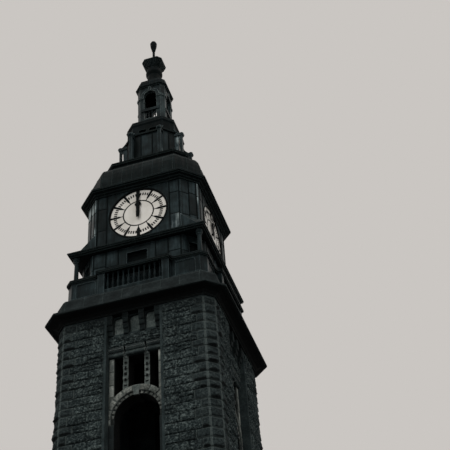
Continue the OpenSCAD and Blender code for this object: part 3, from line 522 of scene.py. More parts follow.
def toned(tree, shade):
    """A colour made lighter or darker by the tone of each stone or sheet."""
    tone = put(tree, "ShaderNodeAttribute", attribute_name="tone", attribute_type="GEOMETRY").outputs["Fac"]
    level = put(tree, "ShaderNodeMath", {0: tone, 1: 1.0}, operation="ADD")
    return put(tree, "ShaderNodeVectorMath", {0: shade, 3: level}, operation="SCALE")


def painted_edge_highlight(tree, width, share):
    """Painted highlight: up to share on a form's edges, 0 on its flats, where a rounded normal leaves the
    true one.
    """
    rounded = put(tree, "ShaderNodeBevel", {"Radius": width}, samples=4)
    true = put(tree, "ShaderNodeNewGeometry").outputs["Normal"]
    along = put(tree, "ShaderNodeVectorMath", {0: rounded, 1: true}, operation="DOT_PRODUCT")
    return put(tree, "ShaderNodeMapRange", {"Value": along, "From Min": 0.75, "From Max": 0.98,
                                            "To Min": share, "To Max": 0.0})


def painted_foot_shadow(tree, soot, most):
    """A painted shadow: up to most, in a ragged arch at the foot of each block, the more the further it juts
    out.
    """
    stored = [put(tree, "ShaderNodeAttribute", attribute_name=label, attribute_type="GEOMETRY")
              for label in ("place", "size")]
    place, size = (put(tree, "ShaderNodeSeparateXYZ", {0: node.outputs["Vector"]}).outputs for node in stored)
    arch = put(tree, "ShaderNodeMath", {0: place[0], 1: 0.5}, operation="SUBTRACT")
    arch = put(tree, "ShaderNodeMath", {0: arch, 1: arch}, operation="MULTIPLY")
    foot = put(tree, "ShaderNodeMath", {0: arch, 1: 1.3, 2: place[2]}, operation="MULTIPLY_ADD")
    foot = put(tree, "ShaderNodeMath", {0: soot, 1: -0.5, 2: foot}, operation="MULTIPLY_ADD")
    black = put(tree, "ShaderNodeMapRange", {"Value": foot, "From Min": -0.06, "From Max": 0.14,
                                             "To Min": most, "To Max": 0.0})
    jut = put(tree, "ShaderNodeMapRange", {"Value": size[1], "From Min": 0.6, "From Max": 1.1,
                                           "To Min": 0.1, "To Max": 1.0})
    return put(tree, "ShaderNodeMath", {0: black, 1: jut}, operation="MULTIPLY")


def stone_finish(name, tones, lip, grit, depth, blotch=0.55, border=0.0, edge_highlight_and_wear=0.0, below=None,
                 under="#272d2d", inside=None, hang=0.0):
    """Quarried stone: blotched by soot at 0.4 m, mottled at 60 mm, its grit drawn coarser so that it shows.

    tones are dark, middle and pale, and blotch is the soot's share of the pattern. grit is the grit's size
    and depth its relief. A border has the lip's colour, and so have the form's edges, as a painted highlight.
    Under the height below the stone has the colour under, as painted shade under the cornice's drip, and
    inside that distance from the axis it is black, a painted shade deep in the reveals. hang is how black the
    painted shadow at the foot of each block is, where it hangs over.
    """
    material, tree = bare_tree(name)
    soot = grain(tree, 0.42, 3.0)
    mottle = grain(tree, 0.06, 4.0, 0.65)
    pattern = weighed(tree, soot, blotch, mottle)
    shade = put(tree, "ShaderNodeValToRGB", {0: pattern}, stops=tuple(zip((0.34, 0.5, 0.66), tones)))
    shade = toned(tree, shade)
    where = put(tree, "ShaderNodeSeparateXYZ", {0: put(tree, "ShaderNodeTexCoord").outputs["Object"]}).outputs
    layers = []
    if border:
        edge = put(tree, "ShaderNodeAttribute", attribute_name="edge", attribute_type="GEOMETRY")
        near = put(tree, "ShaderNodeMapRange", {"Value": edge.outputs["Fac"], "From Min": border * 0.6,
                                                "From Max": border, "To Min": 0.75, "To Max": 0.0})
        layers.append((near, lip))
    # Below that height the colour under: painted shade under the cornice's drip, a darker tone in the jambs
    if below:
        lower = put(tree, "ShaderNodeMapRange", {"Value": where[2], "From Min": below - 0.02,
                                                 "From Max": below + 0.02, "To Min": 1.0, "To Max": 0.0})
        layers.append((lower, under))
    # Painted highlights along the edges of the form, in the lip's colour
    if edge_highlight_and_wear:
        layers.append((painted_edge_highlight(tree, 0.03, edge_highlight_and_wear), lip))
    # A painted shadow, near black, at the foot of each block where it hangs over
    if hang:
        layers.append((painted_foot_shadow(tree, soot, hang), "#060808"))
    # Painted shade: black deep in the reveals, inside that distance from the axis
    if inside:
        x, y = (put(tree, "ShaderNodeMath", {0: where[k]}, operation="ABSOLUTE") for k in (0, 1))
        out = put(tree, "ShaderNodeMath", {0: x, 1: y}, operation="MAXIMUM")
        deep = put(tree, "ShaderNodeMapRange", {"Value": out, "From Min": inside - 0.06,
                                                "From Max": inside - 0.03, "To Min": 1.0, "To Max": 0.0})
        layers.append((deep, "#090b0b"))
    for share, code in layers:
        shade = put(tree, "ShaderNodeMix", {0: share, 6: shade, 7: code}, data_type="RGBA")
    fine = grain(tree, grit, 5.0, 0.7, (1, 1, 1.7))
    split_face = grain(tree, grit * 3, 3.0, 0.6, (1, 1, 2.2))
    height = put(tree, "ShaderNodeMath", {0: split_face, 1: 1.4, 2: fine}, operation="MULTIPLY_ADD")
    bump = put(tree, "ShaderNodeBump", {"Height": height, "Strength": 1.0, "Distance": depth})
    shaded(tree, {"Base Color": shade, "Roughness": 0.95, "Specular IOR Level": 0.15, "Normal": bump})
    return material


# The oxide film takes a little of the warmth out of what metal and paint reflect
FILM = "#8fa9ad"


def sheet_finish(name, tones, lip, roughness=0.42, edge=0.03):
    """Weathered sheet metal: run marks down the face, dulled patches, a satin sheen that takes the sky.

    tones are dark, middle and pale, and the lip's colour lies along the edges as a painted highlight. What is
    seen is the oxide on the metal, so the surface isn't metallic.
    """
    material, tree = bare_tree(name)
    runs = grain(tree, 0.09, 3.0, 0.6, (1, 1, 0.09))
    patch = grain(tree, 0.7, 3.0, 0.55)
    pattern = weighed(tree, runs, 0.45, patch)
    shade = put(tree, "ShaderNodeValToRGB", {0: pattern}, stops=tuple(zip((0.36, 0.5, 0.66), tones)))
    shade = toned(tree, shade)
    # Painted highlights along the edges, in the lip's colour
    shade = put(tree, "ShaderNodeMix", {0: painted_edge_highlight(tree, edge, 0.9), 6: shade, 7: lip}, data_type="RGBA")
    dull = put(tree, "ShaderNodeMapRange", {"Value": runs, "From Min": 0.35, "From Max": 0.65,
                                            "To Min": roughness - 0.12, "To Max": roughness + 0.16})
    dents = grain(tree, 0.22, 2.0, 0.5)
    bump = put(tree, "ShaderNodeBump", {"Height": dents, "Strength": 0.6, "Distance": 0.012})
    shaded(tree, {"Base Color": shade, "Roughness": dull, "Specular IOR Level": 0.2, "Specular Tint": FILM,
                  "Normal": bump})
    return material


def painted_finish(name, paint, edge_highlight_and_wear, roughness):
    """Gloss paint gone satin on iron or aluminium, thinner and paler in patches of 50 mm."""
    material, tree = bare_tree(name)
    shade = put(tree, "ShaderNodeValToRGB", {0: grain(tree, 0.05)}, stops=((0.45, paint), (0.75, edge_highlight_and_wear)))
    bump = put(tree, "ShaderNodeBump", {"Height": grain(tree, 0.012), "Strength": 0.4, "Distance": 0.001})
    shaded(tree, {"Base Color": shade, "Roughness": roughness, "Specular IOR Level": 0.15,
                  "Specular Tint": FILM, "Normal": bump})
    return material


def opal_finish(mid):
    """Opal glass of the dials: milky and faintly warm, with a film of dust in patches of 0.35 m."""
    material, tree = bare_tree("Opal dial glass")
    shade = put(tree, "ShaderNodeValToRGB", {0: grain(tree, 0.35, 3.0, 0.5, (1, 1, 0.5))},
                stops=((0.3, "#b7b2a8"), (0.55, mid), (0.8, "#cfcac2")))
    shaded(tree, {"Base Color": shade, "Roughness": 0.28, "IOR": 1.52})
    return material


def board_finish():
    """Oak boards painted dark, with 12 mm wide grain that stands up through the paint."""
    material, tree = bare_tree("Painted oak boards")
    fibre = grain(tree, 0.012, 4.0, 0.6, (1, 1, 0.05))
    shade = put(tree, "ShaderNodeValToRGB", {0: fibre}, stops=((0.3, "#121514"), (0.7, "#232726")))
    bump = put(tree, "ShaderNodeBump", {"Height": fibre, "Strength": 0.8, "Distance": 0.002})
    shaded(tree, {"Base Color": shade, "Roughness": 0.6, "Normal": bump})
    return material


FINISH = {}


class TOWER_OT_finishes(bpy.types.Operator):
    """Makes the finishes and gives each CAD node its own"""
    bl_idname = "tower.finishes"
    bl_label = "Finishes"

    def execute(self, context):
        tones = context.scene.tower_colours
        FINISH.update({
            # Sandstone split with the hammer, black with soot: rough and matt
            "rock": stone_finish("Rock-faced sandstone", ("#0f1516", tones.rock, "#707b77"), "#2b3130",
                                 grit=0.028, depth=0.1, blotch=0.25),
            # The same stone with a chiselled border, which stays paler than the boss, and a painted shadow at
            # each block's foot
            "quoin": stone_finish("Quoin stone with drafted margin", ("#0f1415", "#242b2b", "#404846"),
                                  "#555d5a", grit=0.03, depth=0.045, blotch=0.3, border=0.026, hang=0.8),
            # Lime mortar and the smooth margins of the walls: dull grey, sandy
            "mortar": stone_finish("Sooted lime mortar", ("#1a2020", "#293131", "#3a4241"), "#5a605c",
                                   grit=0.02, depth=0.012),
            # Fine-grained sandstone rubbed smooth, washed by rain, with painted highlights on its edges
            # and black painted shade deep in the reveals
            "trim": stone_finish("Rubbed pale sandstone", ("#2a2f2d", "#434946", "#666b67"), "#7c807b",
                                 grit=0.02, depth=0.006, edge_highlight_and_wear=0.5, inside=JAMB_FACE),
            # The faces of its blocks, which the rain washes unevenly
            "washed": stone_finish("Washed sandstone", ("#2f3330", tones.washed, "#888982"), "#171a19",
                                   grit=0.016, depth=0.008, blotch=0.4, border=0.9),
            # The same stone in the jambs, darker below the springing, with black painted shade deep in the
            # reveals
            "jamb": stone_finish("Rubbed jamb stone", ("#2f3330", "#484c48", "#63655f"), "#7c7d77",
                                 grit=0.02, depth=0.006, below=SPRING, inside=JAMB_FACE),
            # The lintel, grey, with black painted shade in its hollow and painted highlights along its lips
            "lintel": stone_finish("Sooted lintel stone", ("#161a19", "#293030", "#434b48"), "#858a85",
                                   grit=0.02, depth=0.006, edge_highlight_and_wear=0.9, inside=JAMB_FACE),
            # The faces of the jamb's blocks, darker under the springing
            "jamb_face": stone_finish("Washed jamb stone", ("#4a4e4b", "#70736d", "#93948c"), "#2b2f2d",
                                      grit=0.016, depth=0.008, border=0.9, below=SPRING, under="#202525"),
            # Painted shadow: near black patches in the mullions' pits
            "pit": stone_finish("Sooted pit", ("#050606", "#0a0c0c", "#121514"), "#7c7d77", grit=0.02,
                                depth=0.006),
            # The slabs at the back of the niches, out of the rain and pale
            "slab": stone_finish("Niche slab stone", ("#3a4240", "#5c6561", "#8f9792"), "#7c7d77", grit=0.05,
                                 depth=0.03),
            # Corbels: the same stone painted dark as their shade, with painted highlights on their edges
            "corbel": stone_finish("Sooted corbel stone", ("#0b0f0f", "#161c1c", "#2b3332"), "#4a524f",
                                   grit=0.03, depth=0.012, edge_highlight_and_wear=0.5),
            # Moulded stone of the eaves: black under the drip as painted shade, washed grey on the
            # weathering, with painted highlights on its edges
            "moulded": stone_finish("Sooted moulded stone", ("#101414", "#1a1f1f", "#292f2f"), "#313837",
                                    grit=0.03, depth=0.006, edge_highlight_and_wear=0.9, below=EAVES, under="#070909"),
            # The raised joints between its blocks: cleaner than the stone, and finer
            "joint": stone_finish("Pointed joint", ("#1b2020", "#2b3231", "#3c4442"), "#3c4442", grit=0.01,
                                  depth=0.003),
            # Zinc sheet on boards, its patina black with soot and faintly green, with run marks
            "sheet": sheet_finish("Weathered zinc sheet", ("#080b0c", tones.sheet, "#2a3436"), "#4c5859"),
            # The same sheet dressed round slender turned forms
            "sheet_slim": sheet_finish("Zinc sheet round balusters", ("#070a0b", "#111718", "#232c2e"),
                                       "#39423f", roughness=0.5, edge=0.006),
            # The same sheet on the lantern, painted lighter as if lit, with bright painted highlights along
            # its edges
            "sheet_lit": sheet_finish("Lantern zinc sheet, painted lighter and highlighted", ("#0b0f10", "#192021", "#313b3b"), "#87928f",
                                      roughness=0.45, edge=0.022),
            # The same sheet on the bell-shaped roof, duller from the weather
            "sheet_roof": sheet_finish("Weathered roof sheet", ("#050808", tones.roof, "#1a2020"), "#3a4443",
                                       roughness=0.66),
            # Sheet with ribs, near black, with painted highlights on its thin edges
            "sheet_ribs": sheet_finish("Ribbed bell sheet", ("#020404", "#060909", "#0f1416"), "#58635f",
                                       roughness=0.7, edge=0.008),
            # Sheets that were laid again, brighter, with more sky in their dents; the same pale sheet is
            # painted sky sheen on the clock stage's chamfers
            "sheet_new_and_sheen": sheet_finish("Relaid zinc sheet and painted sheen", ("#10181a", "#2a3436", "#8b9593"), "#7a8483",
                                      roughness=0.36),
            # The same sheet made darker, as painted shade on the undersides that are seen from below
            "sheet_dark": sheet_finish("Zinc sheet darkened as painted shade", ("#030505", "#080b0b", "#12181a"), "#343e3c",
                                       roughness=0.72),
            # Black dirt in the seams and laps, drawn 34 mm wide so that it shows
            "seam": sheet_finish("Dirt in the seams", ("#020303", "#050707", "#0a0d0d"), "#0d1111",
                                 roughness=0.8),
            # Milky glass that glows evenly in daylight
            "opal": opal_finish(tones.dial),
            # Cast iron of the rims and bars: black, satin, faintly patchy
            "iron": painted_finish("Black painted cast iron", "#060808", "#0f1212", 0.55),
            # The hands' sheet aluminium under the same paint, kept cleaner
            "hand": painted_finish("Black painted aluminium", "#050606", "#0b0d0d", 0.55),
            # Window frames and the dark panes in them: old paint and dust, nearly matt
            "frame": painted_finish("Painted window frame", "#070909", "#121616", 0.8),
            # The door's oak: dark paint that has sunk into the grain
            "boards": board_finish(),
        })
        nodes = {
            "mortar": "plinth shaft_walls corner_piers",
            "trim": "window_arches window_mullions window_sills",
            "lintel": "window_lintels",
            "jamb": "window_jambs",
            "corbel": "wall_corbels",
            "moulded": "main_cornice",
            "sheet": "parapet_corners parapet_piers gallery_walls gallery_columns clock_walls corner_skirts "
                     "drum_walls scroll_brackets",
            "sheet_lit": "lantern_walls",
            "sheet_slim": "balusters lantern_rails",
            "sheet_roof": "skirt_roof",
            "sheet_dark": "gallery_floor parapet_coping gallery_cornice clock_cornice attic drum_frieze "
                          "lantern_roof roof_neck finial",
            "sheet_ribs": "top_slab",
            "opal": "dials",
            "iron": "dial_rims dial_marks",
            "hand": " ".join(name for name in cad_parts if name.endswith("_hand")),
            "frame": "gallery_windows",
            "boards": "foot_door",
        }
        for finish, names in nodes.items():
            for name in names.split():
                dress(name, FINISH[finish])
        return {"FINISHED"}


# Stonework

# How far the top bed lies under the shaft's top
TOP_BED = 0.06


def course_beds(z0, z1, mean, spread, draw):
    """Heights of the bed joints from z0 to z1."""
    heights = [1 + draw.uniform(-spread, spread) for _ in range(round((z1 - z0) / mean))]
    share = (z1 - z0) / sum(heights)
    beds = [z0]
    for height in heights:
        beds.append(beds[-1] + height * share)
    return beds


def shaft_beds(stone, draw):
    """The shaft's bed joints, which the corners share with the walls."""
    return course_beds(PLINTH_TOP, SHAFT_TOP - TOP_BED, stone.course, 0.16, draw)


def split(a, b, lengths, draw):
    """Ends of the stones between a and b, with lengths from shortest to longest."""
    shortest, longest = lengths
    ends = [a]
    while b - ends[-1] > longest:
        step = draw.uniform(shortest, longest)
        if b - ends[-1] - step < shortest:
            step = (b - ends[-1]) / 2
        ends.append(ends[-1] + step)
    return [*ends, b]


# The corner stones: the lengths of their legs, the spreads of what a leg and a boss jut out, and of the tone
LEGS = (0.27, 0.46)
LEG_JUT = (0.4, 1.2)
BOSS_JUT = (0.35, 1.15)
QUOIN_TONE = (-0.12, 0.2)


def quoin_ends(side, course):
    """Where a course's corner stones end on a side, left and right, with legs short and long by turns."""
    legs = LEGS[::-1] if course % 2 else LEGS
    flat = SHAFT - SHAFT_CUT
    return -flat + legs[side % 2 == 1], flat - legs[side % 2 == 0]


def free_half(stone, side, z0, z1):
    """Half the width that a course leaves free in a side's middle, for the bay, the low arch or the door."""
    if z1 > SILL_Z - SILL + 0.02:
        return BAY + stone.margin
    if z1 > LOW_SILL_Z - SILL + 0.02 and z0 < LOW_ARCH_Z + BAY:
        rise = max(0.0, z0 - LOW_ARCH_Z)
        return math.sqrt(max(0.0, BAY ** 2 - rise ** 2)) + stone.margin
    return DOOR + 0.02 if side == 0 and z0 < DOOR_TOP else 0.0


# Wall stones: the share of them that is two thin ones, the thinnest that is laid, the mean height of a course
# over the lintel and of one on the plinth, the spread of what juts out, and the spread of the tone
THIN_SHARE = 0.13
THINNEST = 0.05
LINTEL_COURSE = 0.21
PLINTH_COURSE = 0.4
WALL_JUT = (0.65, 1.3)
WALL_TONE = (-0.12, 0.14)


def laid_course(side, z0, z1, spans, out, lengths, joint, draw):
    """The stones of a course, laid in its spans, as rows for points_mesh. Some are two thin ones."""
    for a, b in spans:
        for x0, x1 in pairwise(split(a, b, lengths, draw)):
            cut = z0 + (z1 - z0) * (draw.uniform(0.4, 0.6) if draw.random() < THIN_SHARE else 1)
            for foot, top in ((z0, cut), (cut, z1)):
                if top - foot < THINNEST:
                    continue
                size = (x1 - x0 - joint * 0.2, draw.uniform(*WALL_JUT), top - foot - joint * 0.7)
                place = turned(side, (x0 + x1) / 2, -out - LIFT, (foot + top) / 2)
                yield place, size, (0, 0, side * QUARTER), draw.uniform(*WALL_TONE)


class TOWER_OT_wall_stones(bpy.types.Operator):
    """Lays the rock-faced courses of the four shaft walls and of the plinth"""
    bl_idname = "tower.wall_stones"
    bl_label = "Wall stones"

    def execute(self, context):
        stone = context.scene.tower_stone
        draw = random.Random(stone.seed)
        beds = shaft_beds(stone, draw)
        flat = SHAFT - SHAFT_CUT
        block = unit_sheet("wall_block", 15, 9, 0.04)
        for side, label in zip(SIDES, ("front", "right", "back", "left")):
            rows = []
            for course, (z0, z1) in enumerate(pairwise(beds)):
                left, right = quoin_ends(side, course)
                free = free_half(stone, side, z0, z1)
                spans = ((left, -free), (free, right)) if free else ((left, right),)
                rows += laid_course(side, z0, z1, spans, SHAFT, (stone.shortest, stone.longest), stone.joint,
                                    draw)
            foot, top = high("window_lintels")[2] + 0.01, low("wall_corbels")[2] - 0.01
            for z0, z1 in pairwise(course_beds(foot, top, LINTEL_COURSE, 0.1, draw)):
                rows += laid_course(side, z0, z1, ((-BAY, BAY),), SHAFT - BAY_DEPTH, (0.3, 0.62), stone.joint,
                                    draw)
            door = DOOR + 0.05
            spans = ((-flat, -door), (door, flat)) if side == 0 else ((-flat, flat),)
            for z0, z1 in pairwise(course_beds(0.02, PLINTH_TOP - 0.1, PLINTH_COURSE, 0.05, draw)):
                rows += laid_course(side, z0, z1, spans, PLINTH, (0.5, 1.1), stone.joint, draw)
            grown(label + "_wall_stones", points_mesh(label, rows), blocks_on_points(), "stone",
                  Block=block, Relief=stone.relief, Even=-0.55, Rough=2.9, Grain=0.1, Flat=2.0, Border=0.012,
                  Upright=5.0, Sag=0.35, Wander=0.09, Seed=float(side * 3), Material=FINISH["rock"])
        return {"FINISHED"}


class TOWER_OT_quoins(bpy.types.Operator):
    """Lays the bossed corner stones up the four chamfered corners"""
    bl_idname = "tower.quoins"
    bl_label = "Corner stones"

    def execute(self, context):
        stone = context.scene.tower_stone
        beds = shaft_beds(stone, random.Random(stone.seed))
        draw = random.Random(stone.seed + 1)
        block = unit_sheet("corner_block", 12, 10, 0.1)
        flat = SHAFT - SHAFT_CUT
        legs, bosses = [], []
        for side in SIDES:
            turn = side * QUARTER
            slant = turn + QUARTER / 2
            for course, (z0, z1) in enumerate(pairwise(beds)):
                height, mid = z1 - z0 - stone.joint, (z0 + z1) / 2
                left, right = quoin_ends(side, course)
                tone = draw.uniform(*QUOIN_TONE)
                for x0, x1 in ((-flat, left), (right, flat)):
                    size = (x1 - x0 - stone.joint, draw.uniform(*LEG_JUT), height)
                    legs.append((turned(side, (x0 + x1) / 2, -SHAFT - LIFT, mid), size, (0, 0, turn), tone))
                place = on_face(slant, (2 * SHAFT - SHAFT_CUT) / math.sqrt(2) + LIFT, 0, mid)
                size = (SHAFT_CUT * math.sqrt(2) - 0.004, draw.uniform(*BOSS_JUT), height)
                bosses.append((place, size, (0, 0, slant), tone))
        grown("corner_stone_legs", points_mesh("legs", legs), blocks_on_points(), "stone", Block=block,
              Relief=stone.relief * 1.4, Even=0.1, Rough=1.5, Grain=0.13, Border=0.04, Sag=0.7, Seed=20.0,
              Material=FINISH["quoin"])
        grown("corner_stone_bosses", points_mesh("bosses", bosses), blocks_on_points(), "stone", Block=block,
              Relief=stone.boss, Even=-0.2, Rough=1.9, Grain=0.19, Border=0.055, Sag=0.8, Seed=31.0,
              Material=FINISH["quoin"])
        return {"FINISHED"}


class DressedFaces:
    """The faces of like dressed stones, gathered for one piece."""

    def __init__(self, name, finish):
        self.name, self.finish = name, finish
        self.verts, self.faces, self.tones, self.edges = [], [], [], []

    def add(self, turn, distance, corner, thick, seed, tone=0.0, cols=5, rows=4):
        """Adds a face thick metres proud, where corner(s, t) gives its place along a side and its height."""
        first, wide = len(self.verts), cols + 1
        self.tones += [tone] * (wide * (rows + 1))
        for t in spaced(rows, 0.05):
            for s in spaced(cols, 0.05):
                u, z = corner(s, t)
                rim = s in (0, 1) or t in (0, 1)
                wave = 0.25 * noise.noise(Vector((u, z, seed)) * 7)
                self.edges.append(0.0 if rim else 1.0)
                self.verts.append(on_face(turn, distance + (LIFT / 2 if rim else thick * (1 + wave)), u, z))
        ahead = corner(1, 0.5)[0] > corner(0, 0.5)[0]
        for j in range(rows):
            for i in range(cols):
                a = first + j * wide + i
                ring = (a, a + 1, a + 1 + wide, a + wide)
                self.faces.append(ring if ahead else ring[::-1])

    def make_piece(self):
        """Makes the piece, with each stone's tone and rim as attributes."""
        mesh = new_mesh(self.name, self.verts, self.faces, FINISH[self.finish])
        for label, values in (("tone", self.tones), ("edge", self.edges)):
            mesh.attributes.new(label, "FLOAT", "POINT").data.foreach_set("value", values)
        mesh.shade_smooth()
        hand_over(new_object(self.name, mesh))


# How far a dressed face stays clear of the faces beside it
CLEAR = 0.006


class TOWER_OT_trim_stones(bpy.types.Operator):
    """Lays the dressed faces of the arch rings, the jambs and the niches"""
    bl_idname = "tower.trim_stones"
    bl_label = "Dressed stones"

    def execute(self, context):
        stone = context.scene.tower_stone
        draw = random.Random(stone.seed + 5)
        pits, rings, jambs, slabs = (DressedFaces(*names) for names in (
            ("mullion_pits", "pit"), ("arch_stones", "washed"), ("jamb_stones", "jamb_face"),
            ("niche_slabs", "slab")))
        outer_order = ARCH_R + ORDER + 0.008

        def voussoirs(turn, z, inner, outer, distance, start, count, gap):
            """Lays a ring of wedge-shaped stones on both sides of its keystone, cut off by the bay.

            start is half the keystone's angle, and gap half the angle of a joint.
            """
            step = (math.pi / 2 - start) / count
            for sign in (-1, 1):
                for k in range(count):
                    a0, a1 = start + k * step + gap, start + (k + 1) * step - gap

                    def corner(s, t):
                        angle = a0 + (a1 - a0) * s
                        reach = min(outer, BAY / max(abs(math.sin(angle)), 0.01)) - CLEAR
                        r = inner + (reach - inner) * t
                        return sign * r * math.sin(angle), z + r * math.cos(angle)

                    rings.add(turn, distance, corner, draw.uniform(0.01, 0.02), draw.random() * 20,
                              draw.uniform(-0.35, 0.35))

        def upright(turn, x0, x1, z0, z1, height):
            """Lays the stones of a jamb."""
            for foot, top in pairwise(course_beds(z0, z1, height, 0.25, draw)):
                tall = top - foot - stone.fine_joint

                def corner(s, t):
                    return x0 + (x1 - x0) * s, foot + stone.fine_joint / 2 + tall * t

                jambs.add(turn, JAMB_FACE, corner, draw.uniform(0.005, 0.011), draw.random() * 20,
                          draw.uniform(-0.3, 0.3))

        def niche(turn, centre, half):
            """Lays the round-headed slab at the back of a niche."""
            def corner(s, t):
                u = -half + 2 * half * s
                over = max(0.0, abs(u) - (half - NICHE_R))
                head = NICHE_TOP - NICHE_R + math.sqrt(max(0.0, NICHE_R ** 2 - over ** 2))
                return centre + u, NICHE_FOOT + (head - NICHE_FOOT) * t

            slabs.add(turn, SHAFT - NICHE_DEPTH, corner, 0.02, draw.random() * 20, draw.uniform(-0.2, 0.2),
                      cols=12, rows=8)

        def pitted(turn, middle):
            """Lays the patches of painted shadow in the pits of a mullion, which stands on the arch."""
            foot = ARCH_Z + math.sqrt((ARCH_R + ARCH_RING) ** 2 - middle ** 2)
            for start, end, half in PITS:
                z0, z1 = (LINTEL_Z - share * (LINTEL_Z - foot) for share in (end, start))

                def corner(s, t):
                    return middle - half + 2 * half * s, z0 + (z1 - z0) * t

                pits.add(turn, JAMB_FACE + LIFT, corner, LIFT, 1.0, cols=3, rows=3)

        for side in SIDES:
            turn = side * QUARTER
            voussoirs(turn, ARCH_Z, outer_order, ARCH_R + ARCH_RING, JAMB_FACE, KEY, 4, 0.011)
            voussoirs(turn, ARCH_Z, ARCH_R + 0.004, ARCH_R + ORDER - 0.002, JAMB_FACE - ORDER_SET, KEY, 7,
                      0.03)
            voussoirs(turn, LOW_ARCH_Z, outer_order, BAY, JAMB_FACE, LOW_KEY, 6, 0.011)
            for sign in (-1, 1):
                inner = sign * (ARCH_R + CLEAR)
                stepped = sign * (ARCH_R + ORDER + CLEAR)
                outer = sign * (BAY - CLEAR)
                upright(turn, stepped, outer, SPRING, ARCH_Z, 0.2)
                upright(turn, inner, outer, ARCH_Z + 0.76, LINTEL_Z, 0.42)
                upright(turn, inner, outer, SILL_Z, SPRING, 0.42)
                upright(turn, stepped, outer, LOW_SILL_Z, LOW_ARCH_Z, 0.42)
            for centre, half in NICHES:
                niche(turn, centre, half)
            for sign in (-1, 1):
                pitted(turn, sign * MULLION)
        for gathered in (pits, rings, jambs, slabs):
            gathered.make_piece()
        return {"FINISHED"}


# The door: its boards, the rim of the leaf beside them, and the straps as shares of its height
BOARDS = 8
BOARD_RIM = 0.015
STRAPS = (0.12, 0.5, 0.88)


class TOWER_OT_door(bpy.types.Operator):
    """Lays the boards and the iron straps of the foot door"""
    bl_idname = "tower.door"
    bl_label = "Foot door"

    def execute(self, context):
        front = -face_of("foot_door")
        foot = low("foot_door")[2]
        tall = DOOR_TOP - foot
        width = (2 * DOOR - 2 * BOARD_RIM) / BOARDS
        board = (width - 0.006, 0.014, tall - 0.04)
        strap = (2 * DOOR - 0.1, 0.008, 0.07)
        upright = (0, 0, 0)
        places = [-DOOR + BOARD_RIM + width * (k + 0.5) for k in range(BOARDS)]
        boards = [((x, front - 0.006, foot + tall / 2), board, upright, 0.0) for x in places]
        straps = [((0, front - 0.016, foot + tall * share), strap, upright, 0.0) for share in STRAPS]
        grown("door_boards", points_mesh("boards", boards), bars_on_points(), "boards",
              Material=FINISH["boards"])
        grown("door_straps", points_mesh("straps", straps), bars_on_points(), "dial_black",
              Material=FINISH["iron"])
        return {"FINISHED"}


# Sheet cladding


def on_window(slanted, u0, u1, z0, z1):
    """Whether a stretch of a gallery wall meets a window."""
    half = SLIM_WINDOW if slanted else WINDOW
    return u0 < half and u1 > -half and z0 < WINDOW_TOP and z1 > WINDOW_FOOT


def on_dial(slanted, u0, u1, z0, z1):
    """Whether a stretch of a clock stage wall meets a dial's rim."""
    gap = math.hypot(max(u0, -u1, 0), max(z0 - DIAL_Z, DIAL_Z - z1, 0))
    return not slanted and gap < DIAL_RIM + 0.01


def is_paler_sheet(turn, slanted, u0, z0):
    """Whether a sheet is paler: new ones low on the front's right, and painted sky sheen on its left chamfer
    and on the right of its right one.
    """
    if slanted:
        return turn > 3 * QUARTER or turn < QUARTER and u0 > 0.2
    return turn == 0 and u0 > 1.1 and z0 < CLOCK_FOOT + 0.1


def never(*_):
    """Says no for every sheet."""
    return False


# The stages in sheet: half width and cut of their square, levels of the foot, the laps and the top, places of
# the seams on a face and on a chamfer, a shift of the tone, what leaves a sheet out, and what makes it paler
STAGES = {
    "gallery": {"half": CORE, "cut": CORE_CUT, "levels": (BASE_TOP, 22.05, CORE_TOP),
                "marks": (-1.605, -1.145, -0.69, -0.235, 0.235, 0.69, 1.145, 1.605),
                "slant_marks": (-0.235, 0.235), "left_out": on_window},
    "clock_stage": {"half": CLOCK, "cut": CLOCK_CUT, "levels": (CLOCK_FOOT, 23.84, 24.87, CLOCK_TOP),
                    "marks": (-1.569, -1.203, 1.203, 1.569), "slant_marks": (-0.05, 0.26),
                    "left_out": on_dial, "made_paler": is_paler_sheet},
    "drum": {"half": DRUM, "cut": DRUM_CUT, "levels": (DRUM_FOOT, DRUM_TOP), "marks": (-0.274, 0.202),
             "slant_marks": (0.0,), "shift": -0.4},
}

# How far the laps of every other column of sheets lie above the stated level, and those between them below it
STAGGER = 0.035
# The gap between two sheets, and how far they stay from the corners of a stage
SHEET_GAP = 0.004
CORNER_GAP = 0.006


def clad_faces(seam, seed, half, cut, levels, marks, slant_marks, shift=0.0, left_out=never, made_paler=never):
    """The sheets, the paler sheets (new ones and painted sky sheen), and the laps and standing seams of a
    stage, as rows for points_mesh.
    """
    draw = random.Random(seed)
    sheets, paler_sheets, laps, seams = [], [], [], []
    foot, top = levels[0], levels[-1]
    for turn, distance, width, slanted in octagon(half, cut):
        inner = [u for u in (slant_marks if slanted else marks) if abs(u) < width / 2 - 0.04]
        ends = [-width / 2 + CORNER_GAP, *inner, width / 2 - CORNER_GAP]
        for column, (u0, u1) in enumerate(pairwise(ends)):
            middle = (u0 + u1) / 2
            stagger = STAGGER if column % 2 else -STAGGER
            rows = [foot, *(z + stagger for z in levels[1:-1]), top]
            for z0, z1 in pairwise(rows):
                if left_out(slanted, u0, u1, z0, z1):
                    continue
                place = on_face(turn, distance + LIFT / 2, middle, (z0 + z1) / 2)
                size = (u1 - u0 - SHEET_GAP, 1, z1 - z0 - SHEET_GAP)
                pile = paler_sheets if made_paler(turn, slanted, u0, z0) else sheets
                pile.append((place, size, (0, 0, turn), draw.uniform(-0.5, 0.5) + shift))
                if z0 > foot:
                    place = on_face(turn, distance + 0.006, middle, z0)
                    laps.append((place, (u1 - u0 - 0.01, 0.008, 0.028), (0, 0, turn), 0.0))
        for u in inner:
            if not left_out(slanted, u - 0.01, u + 0.01, foot, top):
                place = on_face(turn, distance + 0.008, u, (foot + top) / 2)
                seams.append((place, (seam, 0.03, top - foot - 0.01), (0, 0, turn), 0.0))
    return sheets, paler_sheets, laps + seams


